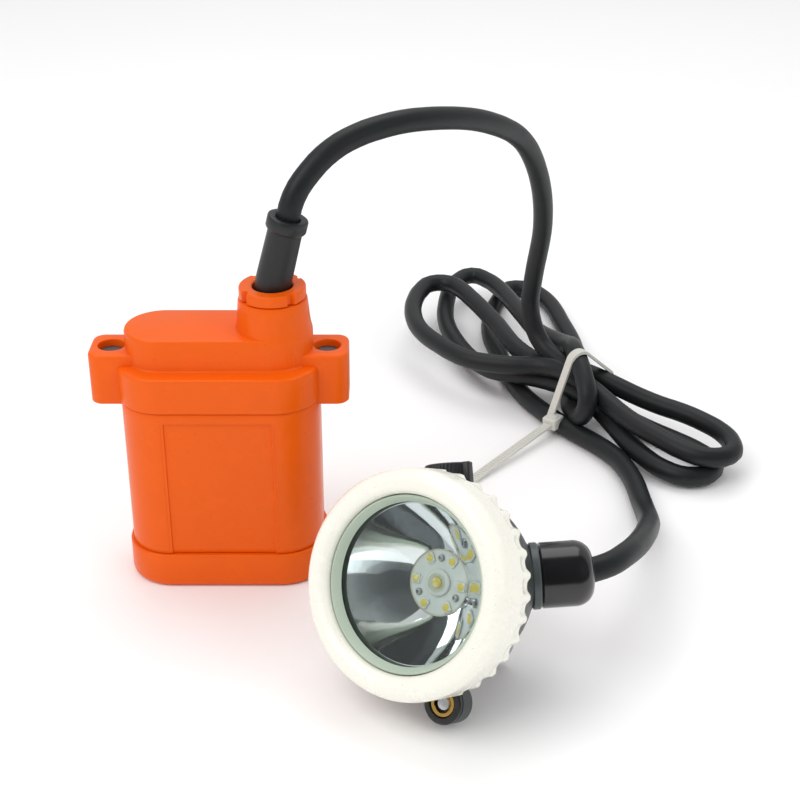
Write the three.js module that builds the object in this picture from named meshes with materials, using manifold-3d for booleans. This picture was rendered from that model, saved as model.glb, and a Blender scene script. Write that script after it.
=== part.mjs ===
// Miner's cap lamp: belt battery pack, tied cord and lamp head, in millimetres, +Z up.
// The origin is the centre of the battery pack's underside, and the pack's front faces -Y.
import * as THREE from "three";
import { mergeVertices } from "three/addons/utils/BufferGeometryUtils.js";
import Module from "manifold-3d";

const wasm = await Module();
wasm.setup();

// ---- Driving dimensions ----

const CLEAR = 0.3; // gap between pieces that fit together
const RUNNING = 0.2; // radial gap round the switch shaft
const SEAL_GAP = 0.1; // gap beside a soft seal

const ROUND_STEPS = 32; // facets of a large turned piece
const MIDDLE_STEPS = 24; // facets of a middling one
const KNOB_STEPS = 16; // facets of the switch knob
const SMALL_STEPS = 12; // facets of a small turned piece
const SHANK_STEPS = 10; // facets of a small screw's shank and its hole
const NOTCH_STEPS = 8; // facets of the smallest round cuts
const CORNER_STEPS = 3; // facets of a rounded corner

// Battery case: the room for the cells, inside the base cap's spigot, and the walls round it
const ROOM_WIDTH = 56;
const ROOM_DEPTH = 28.2;
const ROOM_CORNER = 9.9;
const CASE_WALL = 2.2;
const CASE_TOP = 65;
const PANEL_WIDTH = 34.6;
const PANEL_RECESS = 0.5;
const PANEL_MARGIN = 3.5;

// Base cap
const BASE_HEIGHT = 12.5;
const BASE_PROUD = 1;
const BASE_FLOOR = 2.6;
const BASE_FILLET = 2;
const SPIGOT_HEIGHT = 4;
const SPIGOT_WALL = 1.6;

// Lid: flange, upper tier and tower
const LID_PROUD = 0.5;
const LID_WALL = 2.2;
const FLANGE_HEIGHT = 12.3;
const TIER_WIDTH = 60.6;
const TIER_DEPTH = 25;
const TIER_HEIGHT = 10.6;
const TIER_FILLET = 1.2;
const TOWER_FOOT_RADIUS = 11.6;
const TOWER_RIM_RADIUS = 11.1;
const TOWER_HEIGHT = 10.1;
const GASKET_HEIGHT = 0.9;
const GASKET_INSET = 0.8;

// Ears, their lugs and screws
const EAR_REACH = 9.6; // how far an ear stands out from the case's side
const EAR_DEPTH = 17;
const EAR_CORNER = 4;
const EAR_RISE = 3.7;
const EAR_DROP = 1.3;
const EAR_WALL = 2;
const EAR_ROOF = 2.5;
const SCREW_OFFSET = 2.7; // an ear screw's axis, out from the case's side
const SCREW_HEAD_RADIUS = 3.9;
const SCREW_HEAD_HEIGHT = 1.5;
const SCREW_SINK = 2.5;
const SCREW_SHANK_RADIUS = 1.9;
const COUNTERBORE_RADIUS = 4.4;

// Gland on the tower
const NUT_RIM_RADIUS = 10.7;
const NUT_RIM_HEIGHT = 3.7;
const NUT_BODY_RADIUS = 7.8;
const NUT_BODY_LENGTH = 4.8;
const NUT_BORE_RADIUS = 6.45;
const NUT_NOTCHES = 4;
const NUT_NOTCH_TURN = 37;
const NUT_NOTCH_WIDTH = 2.2;
const NUT_NOTCH_DEPTH = 1.3;
const LEAD_HOLE_RADIUS = 5;
const GLAND_WASHER_HEIGHT = 0.8;
const BOOT_RADIUS = 6.05;
const BOOT_TOP_RADIUS = 5.5;
const BOOT_COLLAR_RADIUS = 6.5;
const BOOT_COLLAR_HEIGHT = 4.2;
const BOOT_FLANGE_HEIGHT = 2;
const BOOT_LENGTH = 23.5;
const BOOT_LEAN = 14.6;

// Inside the pack
const CELL_RADIUS = 9.15;
const CELL_LENGTH = 65;
const CELL_COUNT = 3;
const PAD_HEIGHT = 2;
const STRIP_WIDTH = 7;
const STRIP_THICKNESS = 0.4;
const BOARD_THICKNESS = 1.6;
const PACK_BOARD_WIDTH = 48;
const PACK_BOARD_DEPTH = 18;

// Cord
const CORD_DIAMETER = 7.6;
const CORD_SIDES = 10;
const ARC_STEPS = 18;
const TAIL_STEPS = 10;
const BUNDLE_HEIGHT = 21;

// Cable tie
const TIE_WIDTH = 3.6;
const TIE_THICKNESS = 1.3;
const TIE_LOOP_LENGTH = 24;
const TIE_SLACK = 1.2; // the loop's top above the bundle
const TIE_LOOP_CORNER = 8;
const TIE_HEAD = 6;
const TIE_CHEEK = 0.8; // how far the lock stands out each side of the strap

// Lamp head's pose: the window's centre, how far its charging barrel clears the ground, and its turns
const HEAD_X = 59.9;
const HEAD_Y = -82.8;
const HEAD_LIFT = 0.3;
const HEAD_TURN = 36.7;
const HEAD_TILT = 27.1;
const HEAD_ROLL = 23.5;

// Bezel
const BEZEL_RADIUS = 33.5;
const BEZEL_DEPTH = 13;
const BEZEL_SHOULDER = 0.8; // where the crown begins, behind the head's origin
const BEZEL_CREST = 4; // the crown's top, before the head's origin
const BEZEL_WALL = 2.4;
const BEZEL_LIP = 0.9;
const CROWN_STEPS = 4; // facets of each side of the crown
const WINDOW_RADIUS = 25.9;
const WINDOW_EDGE = 1.3; // the window's edge, before the head's origin
const SCALLOPS = 33;
const SCALLOP_RADIUS = 2.1;
const SCALLOP_LENGTH = 4.6;
const SCALLOP_SINK = 1.1;

// Lens and reflector
const LENS_GASKET_HEIGHT = 0.7;
const LENS_GASKET_BORE = 23.6;
const LENS_GASKET_SINK = 0.4; // the gasket's edge, behind the window's edge
const LENS_GASKET_BRIM = 0.6;
const LENS_THICKNESS = 1.6;
const LENS_SEAT = 1.5; // how far the lens reaches under the bezel's lip, past the reflector's rim
const REFLECTOR_RIM_RADIUS = 23.2;
const REFLECTOR_NECK_RADIUS = 10;
const REFLECTOR_DEPTH = 14.1;
const REFLECTOR_WALL = 1;

// Light sources
const LED_BOARD_RADIUS = 12.6;
const AUX_LED_COUNT = 6;
const AUX_LED_SIZE = 2.8;
const AUX_LED_HEIGHT = 0.8;
const AUX_LED_RING = 7.8;
const AUX_LED_TURN = 46;
const MAIN_BASE_RADIUS = 4;
const MAIN_BASE_HEIGHT = 1.2;
const MAIN_DOME_RADIUS = 2.8;
const BOARD_SCREW_COUNT = 3;
const BOARD_SCREW_RING = 7.3;
const BOARD_SCREW_TURN = -43;
const BOARD_SCREW_HEAD_RADIUS = 1.05;
const BOARD_SCREW_SHANK_RADIUS = 0.6;
const BOARD_SCREW_LENGTH = 3.4;
const HEAT_SINK_THICKNESS = 3.5;
const DRIVER_BOARD_RADIUS = 14;
const DRIVER_BOARD_DEPTH = 35;

// Lamp housing: a bowl that narrows towards the rear
const HOUSING_WALL = 2.3;
const COLLAR_WALL = 3.5;
const BOWL_STEP = 1.2; // the bowl's front edge, in from the collar's
const BOWL_REAR_RADIUS = 15.2;
const BOWL_START = 14;
const BOWL_END = 47.6;
const BOWL_POWER = 1.8;
const BOWL_STEPS = 8;
const REAR_HOLE_RADIUS = 8.6;

// Rear cover and helmet hook
const COVER_RADIUS = 14.4;
const COVER_THICKNESS = 2.2;
const COVER_SPIGOT = 2;
const COVER_EDGE = 1;
const HOOK_SCREW_FLOOR = 1; // the spigot left beyond a hook screw
const SEAL_SECTION = 0.9;
const COVER_SCREW_COUNT = 3;
const COVER_SCREW_RING = 12;
const COVER_SCREW_TURN = 90;
const COVER_SCREW_HEAD_RADIUS = 1.7;
const COVER_SCREW_SHANK_RADIUS = 0.9;
const COVER_SCREW_HEAD_HEIGHT = 1.1;
const HOOK_WIDTH = 11;
const HOOK_REACH = 24.6;
const HOOK_RISE = 7;
const HOOK_THICKNESS = 1.8;
const HOOK_SCREW_SPACING = 8;

// Gland on the lamp housing
const GLAND_TILT = 32;
const GLAND_DEPTH = 23.4;
const GLAND_BOSS_RADIUS = 10.45;
const GLAND_BOSS_INSET = 5.2; // the boss's end, in from the bowl's front radius
const GLAND_COLLAR_RADIUS = 10;
const GLAND_COLLAR_HEIGHT = 2.6;
const GLAND_NECK_RADIUS = 7.2;
const GLAND_NECK_LENGTH = 9.6;
const GLAND_BORE_RADIUS = 4.9;
const GLAND_BUSH_LENGTH = 3.6;
const GLAND_NUT_RADIUS = 9.85;
const GLAND_NUT_LENGTH = 15.8;
const GLAND_DOME_LENGTH = 5.6;
const GLAND_MOUTH_RADIUS = 4.5;

// Switch
const SWITCH_BOSS_RADIUS = 8;
const SWITCH_BOSS_INSET = 1.8; // the boss's top, in from the bowl's front radius
const SHAFT_RADIUS = 2;
const SWITCH_BODY_GAP = 1.6; // from the bowl's inner wall to the shaft's foot
const KNOB_RADIUS = 6.75;
const KNOB_HEIGHT = 7.4;
const KNOB_ROOF = 3.6;
const POINTER_WIDTH = 3;
const POINTER_REACH = 1.6;
const KNOB_SEAL_RADIUS = 4.4;
const KNOB_SEAL_HEIGHT = 0.9;
const SWITCH_BODY_SIZE = 7.6;
const SWITCH_BODY_HEIGHT = 8.4;

// Charging contact
const BARREL_STAND = 5.4; // the barrel's axis, out from the bowl's front radius
const BARREL_RADIUS = 6.2;
const BARREL_FRONT = 15;
const BARREL_REAR = 22.8;
const BARREL_FLOOR = 1.4;
const BARREL_BORE_RADIUS = 5.1;
const BARREL_WEB_WIDTH = 9;
const INSULATOR_CAP_HEIGHT = 1.7;
const RING_RADIUS = 4;
const RING_WALL = 1.3;
const RING_LENGTH = 2.9;
const CONTACT_SINK = 0.4;
const PIN_RADIUS = 2.2;

// ---- Levels worked out from them ----

const CASE_JOINT = SPIGOT_WALL + CLEAR + CASE_WALL;
const CASE_WIDTH = ROOM_WIDTH + 2 * CASE_JOINT;
const CASE_DEPTH = ROOM_DEPTH + 2 * CASE_JOINT;
const CASE_CORNER = ROOM_CORNER + CASE_JOINT;
const EAR_SPAN = CASE_WIDTH + 2 * EAR_REACH;
const SCREW_SPACING = CASE_WIDTH + 2 * SCREW_OFFSET;
const CELL_PITCH = 2 * CELL_RADIUS + CLEAR;
const FLANGE_TOP = CASE_TOP + FLANGE_HEIGHT;
const TIER_TOP = FLANGE_TOP + TIER_HEIGHT;
const TOWER_TOP = TIER_TOP + TOWER_HEIGHT;
const TOWER_X = TIER_WIDTH / 2 - TIER_DEPTH / 2;
const EAR_TOP = FLANGE_TOP + EAR_RISE;
const EAR_FOOT = CASE_TOP - EAR_DROP;
const COUNTERBORE_FLOOR = EAR_TOP - SCREW_SINK - SCREW_HEAD_HEIGHT;
const LUG_TOP = COUNTERBORE_FLOOR - EAR_ROOF - CLEAR;
const NUT_BODY_FOOT = TOWER_TOP + CLEAR - NUT_BODY_LENGTH;
const WASHER_FOOT = NUT_BODY_FOOT - CLEAR - GLAND_WASHER_HEIGHT;
const BOOT_FOOT = WASHER_FOOT - CLEAR - BOOT_FLANGE_HEIGHT;
const BOOT_BEND = TOWER_TOP + CLEAR + NUT_RIM_HEIGHT;

const COLLAR_RADIUS = BEZEL_RADIUS - BEZEL_WALL - CLEAR;
const BOWL_FRONT_RADIUS = COLLAR_RADIUS - BOWL_STEP;
const GLAND_BOSS_END = BOWL_FRONT_RADIUS - GLAND_BOSS_INSET;
const SWITCH_BOSS_TOP = BOWL_FRONT_RADIUS - SWITCH_BOSS_INSET;
const BARREL_OFFSET = BOWL_FRONT_RADIUS + BARREL_STAND;
const GASKET_DEPTH = BEZEL_LIP + CLEAR;
const LENS_DEPTH = GASKET_DEPTH + LENS_GASKET_HEIGHT + CLEAR;
const RIM_DEPTH = LENS_DEPTH + LENS_THICKNESS + CLEAR;
const FLANGE_DEPTH = RIM_DEPTH + REFLECTOR_WALL;
const COLLAR_DEPTH = FLANGE_DEPTH + CLEAR;
const NECK_DEPTH = RIM_DEPTH + REFLECTOR_DEPTH;
const LED_BOARD_DEPTH = NECK_DEPTH + CLEAR;
const HEAT_SINK_DEPTH = LED_BOARD_DEPTH + BOARD_THICKNESS + CLEAR;
const SINK_REAR = HEAT_SINK_DEPTH + HEAT_SINK_THICKNESS;
const SWITCH_DEPTH = SINK_REAR + CLEAR + SWITCH_BODY_SIZE / 2;
const SWITCH_ROOM = bowlRadius(SWITCH_DEPTH + SWITCH_BODY_SIZE / 2) - HOUSING_WALL;
const SHAFT_FOOT = Math.sqrt(SWITCH_ROOM ** 2 - (SWITCH_BODY_SIZE / 2) ** 2) - SWITCH_BODY_GAP;
const COVER_DEPTH = BOWL_END + CLEAR;
const HOOK_DEPTH = COVER_DEPTH + COVER_THICKNESS + CLEAR;
const LENS_RADIUS = COLLAR_RADIUS - LENS_SEAT - CLEAR;

// ---- Finishes ----

const ORANGE = { color: 0xe8602a, roughness: 0.35, metalness: 0 };
const BLACK_RUBBER = { color: 0x2a2c2e, roughness: 0.7, metalness: 0 };
const CORD_RUBBER = { color: 0x383e40, roughness: 0.55, metalness: 0 };
const CREAM = { color: 0xeeecde, roughness: 0.4, metalness: 0 };
const GREY_PLASTIC = { color: 0x4c5254, roughness: 0.5, metalness: 0 };
const BLACK_PLASTIC = { color: 0x232427, roughness: 0.35, metalness: 0 };
const PALE_GREEN = { color: 0xc3ccb8, roughness: 0.5, metalness: 0 };
const CLEAR_GLASS = { color: 0xdfeeee, roughness: 0.03, metalness: 0, transparent: true, opacity: 0.3 };
const CHROME = { color: 0xe8ecf0, roughness: 0.05, metalness: 1 };
const WHITE_BOARD = { color: 0xdadedc, roughness: 0.5, metalness: 0 };
const YELLOW_LED = { color: 0xd9c43a, roughness: 0.4, metalness: 0 };
const STEEL = { color: 0xb4b6b6, roughness: 0.3, metalness: 1 };
const BRASS = { color: 0xbe8c3c, roughness: 0.3, metalness: 1 };
const ALUMINIUM = { color: 0xb8bcc0, roughness: 0.4, metalness: 1 };
const GREEN_BOARD = { color: 0x2f6b45, roughness: 0.5, metalness: 0 };
const CELL_BLUE = { color: 0x3c5f9c, roughness: 0.4, metalness: 0 };
const TIE_NYLON = { color: 0xd9d9d2, roughness: 0.45, metalness: 0 };

// ---- Geometry helpers ----

const MERGE_DISTANCE = 1e-4;
const OVERRUN = 1; // how far a cutter runs past the face it opens

function toSolid(geometry) {
  const bare = geometry.clone();
  bare.deleteAttribute("normal");
  bare.deleteAttribute("uv");
  const merged = mergeVertices(bare, MERGE_DISTANCE);
  const vertProperties = merged.attributes.position.array;
  const triVerts = new Uint32Array(merged.index.array);
  return new wasm.Manifold(new wasm.Mesh({ numProp: 3, vertProperties, triVerts }));
}

function toGeometry(solid) {
  const mesh = solid.getMesh();
  const geometry = new THREE.BufferGeometry();
  geometry.setAttribute("position", new THREE.BufferAttribute(mesh.vertProperties, 3));
  geometry.setIndex(new THREE.BufferAttribute(mesh.triVerts, 1));
  geometry.computeVertexNormals();
  return geometry;
}

function join(...geometries) {
  return toGeometry(geometries.map(toSolid).reduce((whole, next) => whole.add(next)));
}

function cut(geometry, ...cutters) {
  return toGeometry(cutters.map(toSolid).reduce((whole, next) => whole.subtract(next), toSolid(geometry)));
}

// A rounded rectangle about the origin, seen from above.
function plan(halfX, halfY, corner) {
  const x = halfX - corner;
  const y = halfY - corner;
  const outline = new THREE.Shape();
  outline.moveTo(halfX, -y);
  outline.absarc(x, y, corner, 0, Math.PI / 2);
  outline.absarc(-x, y, corner, Math.PI / 2, Math.PI);
  outline.absarc(-x, -y, corner, Math.PI, 1.5 * Math.PI);
  outline.absarc(x, -y, corner, 1.5 * Math.PI, 2 * Math.PI);
  return outline;
}

function casePlan(inset) {
  return plan(CASE_WIDTH / 2 - inset, CASE_DEPTH / 2 - inset, CASE_CORNER - inset);
}

function tierPlan(inset) {
  const half = TIER_DEPTH / 2 - inset;
  return plan(TIER_WIDTH / 2 - inset, half, half);
}

function slab(outline, low, high) {
  const options = { depth: high - low, bevelEnabled: false, curveSegments: CORNER_STEPS };
  return new THREE.ExtrudeGeometry(outline, options).translate(0, 0, low);
}

// A slab whose two rims are filleted: the outline given is the core inside the fillet.
function softSlab(core, low, high, fillet) {
  const options = {
    depth: high - low - 2 * fillet,
    bevelEnabled: true,
    bevelThickness: fillet,
    bevelSize: fillet,
    bevelSegments: 2,
    curveSegments: CORNER_STEPS,
  };
  return new THREE.ExtrudeGeometry(core, options).translate(0, 0, low + fillet);
}

function rod(radius, low, high, sides = SMALL_STEPS, topRadius = radius) {
  const height = high - low;
  const geometry = new THREE.CylinderGeometry(topRadius, radius, height, sides);
  return geometry.rotateX(Math.PI / 2).translate(0, 0, low + height / 2);
}

function box(x0, x1, y0, y1, z0, z1) {
  const geometry = new THREE.BoxGeometry(x1 - x0, y1 - y0, z1 - z0);
  return geometry.translate((x0 + x1) / 2, (y0 + y1) / 2, (z0 + z1) / 2);
}

// A piece turned about Z from a list of [radius, height] that goes round anticlockwise.
function turned(profile, steps = ROUND_STEPS) {
  const points = profile.map(([radius, height]) => new THREE.Vector2(radius, height));
  return new THREE.LatheGeometry(points, steps).rotateX(Math.PI / 2);
}

// A washer or sleeve between two radii.
function ring(inner, outer, low, high, steps = ROUND_STEPS) {
  return turned([[outer, low], [outer, high], [inner, high], [inner, low], [outer, low]], steps);
}

function tubeAlong(points, radius, sides, steps) {
  const section = new THREE.Shape();
  for (let i = 0; i < sides; i += 1) {
    const angle = (2 * Math.PI * i) / sides;
    const move = i ? "lineTo" : "moveTo";
    section[move](radius * Math.cos(angle), radius * Math.sin(angle));
  }
  const path = new THREE.CatmullRomCurve3(points.map((point) => new THREE.Vector3(...point)));
  return new THREE.ExtrudeGeometry(section, { steps, extrudePath: path, bevelEnabled: false });
}

function radians(degrees) {
  return THREE.MathUtils.degToRad(degrees);
}

function onCircle(radius, degrees) {
  return [radius * Math.cos(radians(degrees)), radius * Math.sin(radians(degrees))];
}

function addPiece(group, name, geometry, finish) {
  const mesh = new THREE.Mesh(geometry, new THREE.MeshStandardMaterial(finish));
  mesh.name = name;
  group.add(mesh);
  return mesh;
}

// ---- Battery pack ----

function makeBaseCap() {
  const rim = BASE_HEIGHT;
  const inner = CASE_WALL + CLEAR + SPIGOT_WALL;
  const outer = join(
    softSlab(casePlan(BASE_FILLET - BASE_PROUD), 0, rim, BASE_FILLET),
    slab(casePlan(-BASE_PROUD), BASE_FILLET, rim),
    slab(casePlan(CASE_WALL + CLEAR), BASE_FLOOR, rim + SPIGOT_HEIGHT),
  );
  return cut(outer, slab(casePlan(inner), BASE_FLOOR, rim + SPIGOT_HEIGHT + OVERRUN));
}

function lug(side) {
  const outer = side * (EAR_SPAN / 2 - EAR_WALL - CLEAR);
  const inner = side * (CASE_WIDTH / 2 - GASKET_INSET + CLEAR);
  const half = EAR_DEPTH / 2 - EAR_WALL - CLEAR;
  return box(Math.min(inner, outer), Math.max(inner, outer), -half, half, EAR_FOOT, LUG_TOP);
}

function makeCase() {
  const foot = BASE_HEIGHT + CLEAR;
  const panelTop = CASE_TOP - PANEL_MARGIN;
  const front = -CASE_DEPTH / 2;
  const shell = cut(
    slab(casePlan(0), foot, CASE_TOP),
    slab(casePlan(CASE_WALL), foot - OVERRUN, CASE_TOP + OVERRUN),
    box(-PANEL_WIDTH / 2, PANEL_WIDTH / 2, front - OVERRUN, front + PANEL_RECESS, foot - OVERRUN, panelTop),
  );
  const whole = join(shell, lug(-1), lug(1));
  const holes = [-1, 1].map((side) => {
    const hole = rod(SCREW_SHANK_RADIUS + CLEAR, EAR_FOOT - OVERRUN, LUG_TOP + OVERRUN);
    return hole.translate((side * SCREW_SPACING) / 2, 0, 0);
  });
  return cut(whole, ...holes);
}

function earBlock(side) {
  const reach = EAR_SPAN / 2 - TOWER_X;
  const block = slab(plan(reach / 2, EAR_DEPTH / 2, EAR_CORNER), EAR_FOOT, EAR_TOP);
  return block.translate(side * (TOWER_X + reach / 2), 0, 0);
}

function earPocket(side) {
  const outer = side * (EAR_SPAN / 2 - EAR_WALL);
  const inner = side * (CASE_WIDTH / 2 - CASE_WALL);
  const half = EAR_DEPTH / 2 - EAR_WALL;
  const roof = LUG_TOP + CLEAR;
  return box(Math.min(inner, outer), Math.max(inner, outer), -half, half, EAR_FOOT - OVERRUN, roof);
}

function makeLid() {
  const foot = CASE_TOP + CLEAR;
  const flangeRoof = FLANGE_TOP - LID_WALL;
  const tierRoof = TIER_TOP - LID_WALL;
  const tierCore = tierPlan(TIER_FILLET);
  const tower = rod(TOWER_FOOT_RADIUS, FLANGE_TOP, TOWER_TOP, ROUND_STEPS, TOWER_RIM_RADIUS);
  const body = join(
    slab(casePlan(-LID_PROUD), foot, FLANGE_TOP),
    softSlab(tierCore, FLANGE_TOP - TIER_FILLET, TIER_TOP, TIER_FILLET),
    tower.translate(TOWER_X, 0, 0),
    earBlock(-1),
    earBlock(1),
  );
  const nutBore = rod(NUT_BODY_RADIUS + CLEAR, BOOT_FOOT - CLEAR, TOWER_TOP + OVERRUN, ROUND_STEPS);
  const leadHole = rod(LEAD_HOLE_RADIUS, tierRoof - OVERRUN, TOWER_TOP);
  const cutters = [
    slab(casePlan(-CLEAR), EAR_FOOT - OVERRUN, foot),
    slab(casePlan(GASKET_INSET - CLEAR), foot - OVERRUN, CASE_TOP + GASKET_HEIGHT + CLEAR),
    slab(casePlan(LID_WALL - LID_PROUD), foot, flangeRoof),
    slab(tierPlan(LID_WALL), flangeRoof - OVERRUN, tierRoof),
    nutBore.translate(TOWER_X, 0, 0),
    leadHole.translate(TOWER_X, 0, 0),
  ];
  for (const side of [-1, 1]) {
    const x = (side * SCREW_SPACING) / 2;
    cutters.push(earPocket(side));
    cutters.push(rod(COUNTERBORE_RADIUS, COUNTERBORE_FLOOR, EAR_TOP + OVERRUN).translate(x, 0, 0));
    cutters.push(rod(SCREW_SHANK_RADIUS + CLEAR, LUG_TOP, EAR_TOP).translate(x, 0, 0));
  }
  return cut(body, ...cutters);
}

function makeEarScrew(side) {
  const head = COUNTERBORE_FLOOR + CLEAR;
  const screw = join(
    rod(SCREW_HEAD_RADIUS, head, head + SCREW_HEAD_HEIGHT),
    rod(SCREW_SHANK_RADIUS, EAR_FOOT + CLEAR, head + SCREW_HEAD_HEIGHT / 2),
  );
  return screw.translate((side * SCREW_SPACING) / 2, 0, 0);
}

function makePackNut() {
  const rimFoot = TOWER_TOP + CLEAR;
  const rimTop = rimFoot + NUT_RIM_HEIGHT;
  const body = turned([
    [NUT_BODY_RADIUS, NUT_BODY_FOOT],
    [NUT_BODY_RADIUS, rimFoot],
    [NUT_RIM_RADIUS, rimFoot],
    [NUT_RIM_RADIUS, rimTop],
    [NUT_BORE_RADIUS, rimTop],
    [NUT_BORE_RADIUS, NUT_BODY_FOOT],
    [NUT_BODY_RADIUS, NUT_BODY_FOOT],
  ]);
  const notches = [];
  const floor = NUT_RIM_RADIUS - NUT_NOTCH_DEPTH;
  const half = NUT_NOTCH_WIDTH / 2;
  for (let i = 0; i < NUT_NOTCHES; i += 1) {
    const angle = radians(NUT_NOTCH_TURN - 90 + (360 * i) / NUT_NOTCHES);
    const notch = box(floor, NUT_RIM_RADIUS + OVERRUN, -half, half, rimFoot - OVERRUN, rimTop + OVERRUN);
    notches.push(notch.rotateZ(angle));
  }
  return cut(body, ...notches).translate(TOWER_X, 0, 0);
}

function makeBoot() {
  const foot = join(
    rod(NUT_BODY_RADIUS - CLEAR, BOOT_FOOT, BOOT_FOOT + BOOT_FLANGE_HEIGHT, SMALL_STEPS),
    rod(BOOT_RADIUS, BOOT_FOOT, BOOT_BEND, SMALL_STEPS),
    new THREE.SphereGeometry(BOOT_RADIUS, SMALL_STEPS, SMALL_STEPS / 2).translate(0, 0, BOOT_BEND),
  );
  const collar = BOOT_LENGTH - BOOT_COLLAR_HEIGHT;
  const stem = join(
    rod(BOOT_RADIUS, 0, BOOT_LENGTH - CLEAR, SMALL_STEPS, BOOT_TOP_RADIUS),
    rod(BOOT_COLLAR_RADIUS, collar, BOOT_LENGTH, SMALL_STEPS),
  );
  stem.rotateY(radians(BOOT_LEAN)).translate(0, 0, BOOT_BEND);
  return join(foot, stem).translate(TOWER_X, 0, 0);
}

function makeGasket() {
  return cut(
    slab(casePlan(GASKET_INSET), CASE_TOP, CASE_TOP + GASKET_HEIGHT),
    slab(casePlan(CASE_WALL), CASE_TOP - OVERRUN, CASE_TOP + GASKET_HEIGHT + OVERRUN),
  );
}

function makePack() {
  const pack = new THREE.Group();
  addPiece(pack, "base_cap", makeBaseCap(), ORANGE);
  addPiece(pack, "battery_case", makeCase(), ORANGE);
  addPiece(pack, "lid_gasket", makeGasket(), BLACK_RUBBER);
  addPiece(pack, "case_lid", makeLid(), ORANGE);
  addPiece(pack, "ear_screw_left", makeEarScrew(-1), STEEL);
  addPiece(pack, "ear_screw_right", makeEarScrew(1), STEEL);

  const padFoot = BASE_FLOOR + CLEAR;
  const padHalfX = (CELL_PITCH * (CELL_COUNT - 1)) / 2 + CELL_RADIUS;
  const pad = slab(plan(padHalfX, CELL_RADIUS, CELL_RADIUS), padFoot, padFoot + PAD_HEIGHT);
  addPiece(pack, "cell_pad", pad, BLACK_RUBBER);
  const lowStrip = padFoot + PAD_HEIGHT + CLEAR;
  const cellFoot = lowStrip + STRIP_THICKNESS + CLEAR;
  const cellTop = cellFoot + CELL_LENGTH;
  const stripHalf = (CELL_PITCH * (CELL_COUNT - 1)) / 2 + STRIP_WIDTH / 2;
  const strip = (low) =>
    box(-stripHalf, stripHalf, -STRIP_WIDTH / 2, STRIP_WIDTH / 2, low, low + STRIP_THICKNESS);
  addPiece(pack, "cell_strip_lower", strip(lowStrip), STEEL);
  ["left", "middle", "right"].forEach((place, index) => {
    const x = (index - (CELL_COUNT - 1) / 2) * CELL_PITCH;
    addPiece(pack, "cell_" + place, rod(CELL_RADIUS, cellFoot, cellTop).translate(x, 0, 0), CELL_BLUE);
  });
  addPiece(pack, "cell_strip_upper", strip(cellTop + CLEAR), STEEL);
  const boardFoot = cellTop + CLEAR + STRIP_THICKNESS + CLEAR;
  const halfX = PACK_BOARD_WIDTH / 2;
  const halfY = PACK_BOARD_DEPTH / 2;
  const board = box(-halfX, halfX, -halfY, halfY, boardFoot, boardFoot + BOARD_THICKNESS);
  addPiece(pack, "protection_board", board, GREEN_BOARD);

  addPiece(pack, "cord_boot", makeBoot(), BLACK_RUBBER);
  const washerTop = WASHER_FOOT + GLAND_WASHER_HEIGHT;
  const washer = ring(BOOT_RADIUS + CLEAR, NUT_BODY_RADIUS - CLEAR, WASHER_FOOT, washerTop);
  addPiece(pack, "gland_washer", washer.translate(TOWER_X, 0, 0), STEEL);
  addPiece(pack, "pack_gland_nut", makePackNut(), ORANGE);
  return pack;
}

// ---- Lamp head, in its own frame: +Z the way it shines, +X the gland's side, +Y the switch's ----

function bowlRadius(depth) {
  const along = Math.max(0, (depth - BOWL_START) / (BOWL_END - BOWL_START));
  return BOWL_FRONT_RADIUS - (BOWL_FRONT_RADIUS - BOWL_REAR_RADIUS) * along ** BOWL_POWER;
}

function bowlProfile(inset, from, to) {
  const points = [];
  for (let i = 0; i <= BOWL_STEPS; i += 1) {
    const depth = from + ((to - from) * i) / BOWL_STEPS;
    points.push([bowlRadius(depth) - inset, -depth]);
  }
  return points;
}

// Half of the bezel's crown, a quarter of an ellipse: from its foot at the given radius up to the crest.
function crownSide(footRadius, foot) {
  const crestRadius = (BEZEL_RADIUS + WINDOW_RADIUS) / 2;
  const points = [];
  for (let i = 0; i <= CROWN_STEPS; i += 1) {
    const angle = (Math.PI / 2) * (i / CROWN_STEPS);
    const radius = crestRadius + (footRadius - crestRadius) * Math.cos(angle);
    points.push([radius, foot + (BEZEL_CREST - foot) * Math.sin(angle)]);
  }
  return points;
}

function makeBezel() {
  const inner = BEZEL_RADIUS - BEZEL_WALL;
  const profile = [
    [BEZEL_RADIUS, -BEZEL_DEPTH],
    ...crownSide(BEZEL_RADIUS, -BEZEL_SHOULDER),
    ...crownSide(WINDOW_RADIUS, WINDOW_EDGE).reverse().slice(1),
    [WINDOW_RADIUS, -BEZEL_LIP],
    [inner, -BEZEL_LIP],
    [inner, -BEZEL_DEPTH],
    [BEZEL_RADIUS, -BEZEL_DEPTH],
  ];
  const scallops = [];
  const centre = BEZEL_RADIUS + SCALLOP_RADIUS - SCALLOP_SINK;
  for (let i = 0; i < SCALLOPS; i += 1) {
    const [x, y] = onCircle(centre, (360 * i) / SCALLOPS);
    const bite = rod(SCALLOP_RADIUS, -BEZEL_DEPTH - OVERRUN, SCALLOP_LENGTH - BEZEL_DEPTH, NOTCH_STEPS);
    scallops.push(bite.translate(x, y, 0));
  }
  return cut(turned(profile), ...scallops);
}

// The gasket seats the lens, and its brim slopes down to the lens inside the window.
function makeLensGasket() {
  const seat = -GASKET_DEPTH;
  const edge = WINDOW_EDGE - LENS_GASKET_SINK;
  const outer = WINDOW_RADIUS - CLEAR;
  return turned([
    [LENS_RADIUS, seat - LENS_GASKET_HEIGHT],
    [LENS_RADIUS, seat],
    [outer, seat],
    [outer, edge],
    [outer - LENS_GASKET_BRIM, edge],
    [LENS_GASKET_BORE, seat - LENS_GASKET_HEIGHT],
    [LENS_RADIUS, seat - LENS_GASKET_HEIGHT],
  ]);
}

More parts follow.
